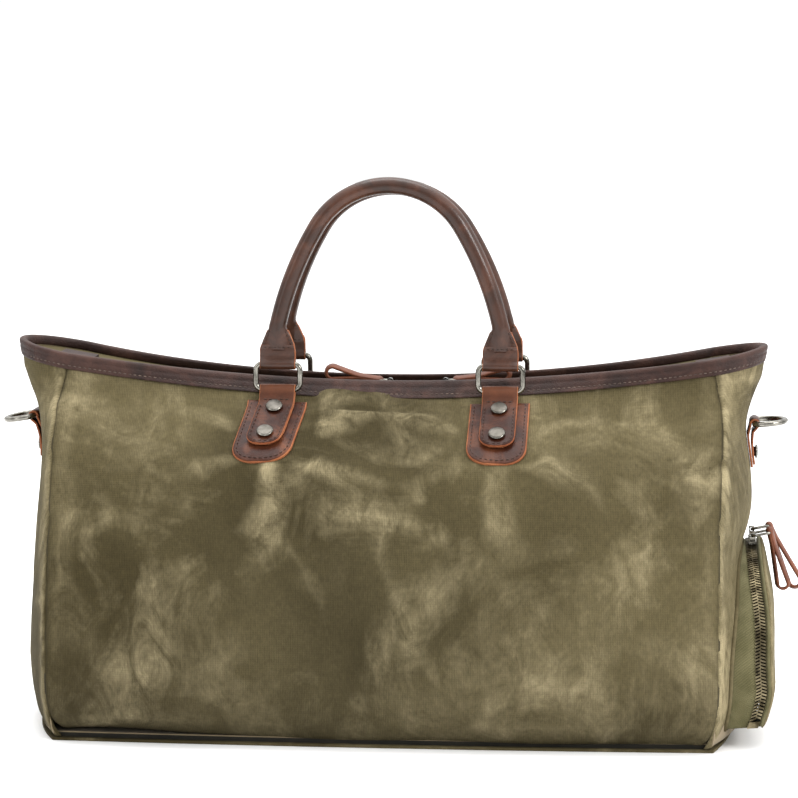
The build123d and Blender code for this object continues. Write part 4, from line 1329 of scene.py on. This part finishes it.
# =================================================================== zip pulls
def pull_loop(start, tip, big, wide, pinch):
    """Leather strip folded into a loop from a fork at start out to tip, as x and z."""
    start, tip = np.array(start, float), np.array(tip, float)
    run = np.linalg.norm(tip - start)
    t = (tip - start) / run
    n = np.array([-t[1], t[0]])
    body = run - big
    s = np.linspace(0, body, 26)
    open_up = np.clip((s - pinch) / (body - pinch), 0, 1)
    gap = 1.0 + (big - 1.9) * open_up**1.1
    gap[0] = 1.3
    one = [start + t * a + n * b for a, b in zip(s, gap)]
    cap = [
        start + t * (body + (big - 0.9) * math.cos(a)) + n * (big - 0.9) * math.sin(a)
        for a in np.linspace(math.pi / 2, -math.pi / 2, 15)[1:-1]
    ]
    two = [start + t * a - n * b for a, b in zip(s[::-1], gap[::-1])]
    nose = [start - t * 1.5 * math.sin(a) - n * 1.3 * math.cos(a) for a in np.linspace(0, math.pi, 7)[1:-1]]
    line = np.array(one + cap + two + nose)
    path = np.stack([line[:, 0], 0 * line[:, 0], line[:, 1]], -1)
    tangent = unit(np.roll(path, -1, 0) - np.roll(path, 1, 0))
    y = unit(np.repeat(np.array([[0.0, 1.0, 0.0]]), len(path), 0) + 0.24 * np.cross(tangent, (0.0, 1.0, 0.0)))
    h = wide / 2
    profile = np.array(
        [(-h, -0.5), (-h, 0.5), (-h + 0.5, 1.0), (0, 1.05), (h - 0.5, 1.0), (h, 0.5), (h, -0.5), (h - 0.5, -1.0), (-h + 0.5, -1.0)]
    )
    verts, faces = sweep(path, profile, closed=True, frames=(y, np.cross(tangent, y)))
    flags = [1 if k % 9 in (0, 1, 4, 5, 6, 8) else 0 for k in range(len(faces))]
    return verts, faces, flags


def fork(pin, knee, half):
    """Wire bail from the slider's pin to the leather."""
    pin, knee = np.array(pin, float), np.array(knee, float)
    corners = [(pin, -half), (knee, -half), (knee, half), (pin, half)]
    path = []
    for k in range(4):
        a, ya = corners[k]
        b, yb = corners[(k + 1) % 4]
        for t in np.linspace(0.12, 0.88, 6):
            path.append((a[0] + (b[0] - a[0]) * t, ya + (yb - ya) * t, a[1] + (b[1] - a[1]) * t))
    return sweep(np.array(path), circle(0.95, 10), closed=True)


def turned_about_rim(points, x):
    """Carries points from the middle of the zip line along its curve to x."""
    a = math.asin(x / (RIM_RADIUS + 7.0))
    dz = points[:, 2] - RIM_CENTRE
    dx = points[:, 0]
    return np.stack(
        [dx * math.cos(a) - dz * math.sin(a), points[:, 1], RIM_CENTRE + dx * math.sin(a) + dz * math.cos(a)],
        -1
    )


def turned_about_arch(points, degrees):
    """Carries points from the top of the arch round to one side."""
    a = math.radians(degrees)
    d = points - SHOE_AT
    u, v, w = d[:, 1], d @ SHOE_UP, d @ SHOE_OUT
    return shoe(u * math.cos(a) - v * math.sin(a), u * math.sin(a) + v * math.cos(a), w, 0.0)


pin_z = float(rim_z(0, 7.0)) + 5.6
for tag, x, tip, big in (
    ("left", -2.0, (-47.0, pin_z + 6.5), 5.6), ("right", 38.0, (47.0, pin_z + 4.5), 5.0)
):
    sign = -1 if tag == "left" else 1
    knee = (sign * 8.0, pin_z + 0.6)
    verts, faces, flags = pull_loop(knee, tip, big, 7.0, 14.0)
    body = "main_pull_" + tag
    leather = add_mesh(
        body + "_loop", turned_about_rim(verts, x), faces, body, PULL, None, None,
        0.2 * np.ones(len(verts))
    )
    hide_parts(body)
    verts, faces = fork((0, pin_z), knee, 3.1)
    add_mesh(body + "_fork", turned_about_rim(verts, x), faces, body, NICKEL)

pin = shoe(np.array(0.0), np.array(95.4), np.array(-6.6), 0.0)
pin = (float(pin[0]), float(pin[2]))
for tag, degrees, tip, big in (("front", 7.4, (281.0, 98.0), 5.0), ("rear", -7.4, (291.0, 97.0), 5.4)):
    knee = (pin[0] + 12.5, pin[1] + 2.6)
    verts, faces, flags = pull_loop(knee, tip, big, 7.0, 9.0)
    body = "shoe_pull_" + tag
    leather = add_mesh(
        body + "_loop", turned_about_arch(verts, degrees), faces, body, PULL, None, None,
        0.2 * np.ones(len(verts))
    )
    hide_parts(body)
    verts, faces = fork(pin, knee, 3.7)
    add_mesh(body + "_fork", turned_about_arch(verts, degrees), faces, body, NICKEL)

# =================================================================== view and light
TARGET = Vector((0.0, 0.0, 0.2306))
AZIMUTH, HEIGHT, AWAY = math.radians(5.0), 0.5373, 2.3736
camera_data = bpy.data.cameras.new("camera")
camera_data.lens = 150.4
camera_data.sensor_width = 36.0
camera_data.shift_x = 0.0075
camera = bpy.data.objects.new("camera", camera_data)
camera.location = (AWAY * math.sin(AZIMUTH), -AWAY * math.cos(AZIMUTH), HEIGHT)
camera.rotation_euler = (TARGET - camera.location).to_track_quat("-Z", "Y").to_euler()
bpy.context.scene.collection.objects.link(camera)
bpy.context.scene.camera = camera


def area_light(name, where, aim, size, power, colour=(1, 1, 1)):
    data = bpy.data.lights.new(name, "AREA")
    data.shape = "RECTANGLE"
    data.size, data.size_y = size
    data.energy = power
    data.color = colour
    obj = bpy.data.objects.new(name, data)
    obj.location = where
    obj.rotation_euler = (Vector(aim) - obj.location).to_track_quat("-Z", "Y").to_euler()
    bpy.context.scene.collection.objects.link(obj)


area_light("key", (2.1, -1.2, 1.4), (0, 0, 0.15), (0.8, 0.8), 40)
area_light("fill", (-2.0, -1.6, 1.0), (0, 0, 0.15), (0.8, 1.6), 10)
area_light("top", (0.0, 0.2, 2.2), (0, 0, 0.2), (1.6, 1.0), 26)

world = bpy.data.worlds.new("studio")
world.use_nodes = True
tree = world.node_tree
where = tree.nodes.new("ShaderNodeTexCoord")
split = tree.nodes.new("ShaderNodeSeparateXYZ")
level = tree.nodes.new("ShaderNodeMapRange")
level.inputs["From Min"].default_value = -0.3
level.inputs["From Max"].default_value = 0.25
level.inputs["To Min"].default_value = 0.45
level.inputs["To Max"].default_value = 1.02
tree.links.new(where.outputs["Generated"], split.inputs[0])
tree.links.new(split.outputs["Y"], level.inputs["Value"])
overhead = tree.nodes.new("ShaderNodeMapRange")
overhead.inputs["From Min"].default_value = 0.2
overhead.inputs["From Max"].default_value = 0.9
overhead.inputs["To Max"].default_value = 1.6
total = tree.nodes.new("ShaderNodeMath")
total.operation = "ADD"
tree.links.new(split.outputs["Z"], overhead.inputs["Value"])
tree.links.new(level.outputs[0], total.inputs[0])
tree.links.new(overhead.outputs[0], total.inputs[1])
tree.links.new(total.outputs[0], tree.nodes["Background"].inputs["Strength"])
tree.nodes["Background"].inputs["Color"].default_value = (1, 1, 1, 1)
bpy.context.scene.world = world
bpy.context.scene.view_settings.view_transform = "Standard"

floor_paint = Paint("studio_floor")
floor_paint.bump(floor_paint.noise(40.0), 0.0001, 0.1)
FLOOR = floor_paint.done(rgb(0.9, 0.9, 0.9), 0.7)
floor = add_mesh(
    "floor",
    [(-6000, -6000, 0), (6000, -6000, 0), (6000, 6000, 0), (-6000, 6000, 0)],
    [(0, 1, 2, 3)],
    None,
    FLOOR,
    smooth=False,
)
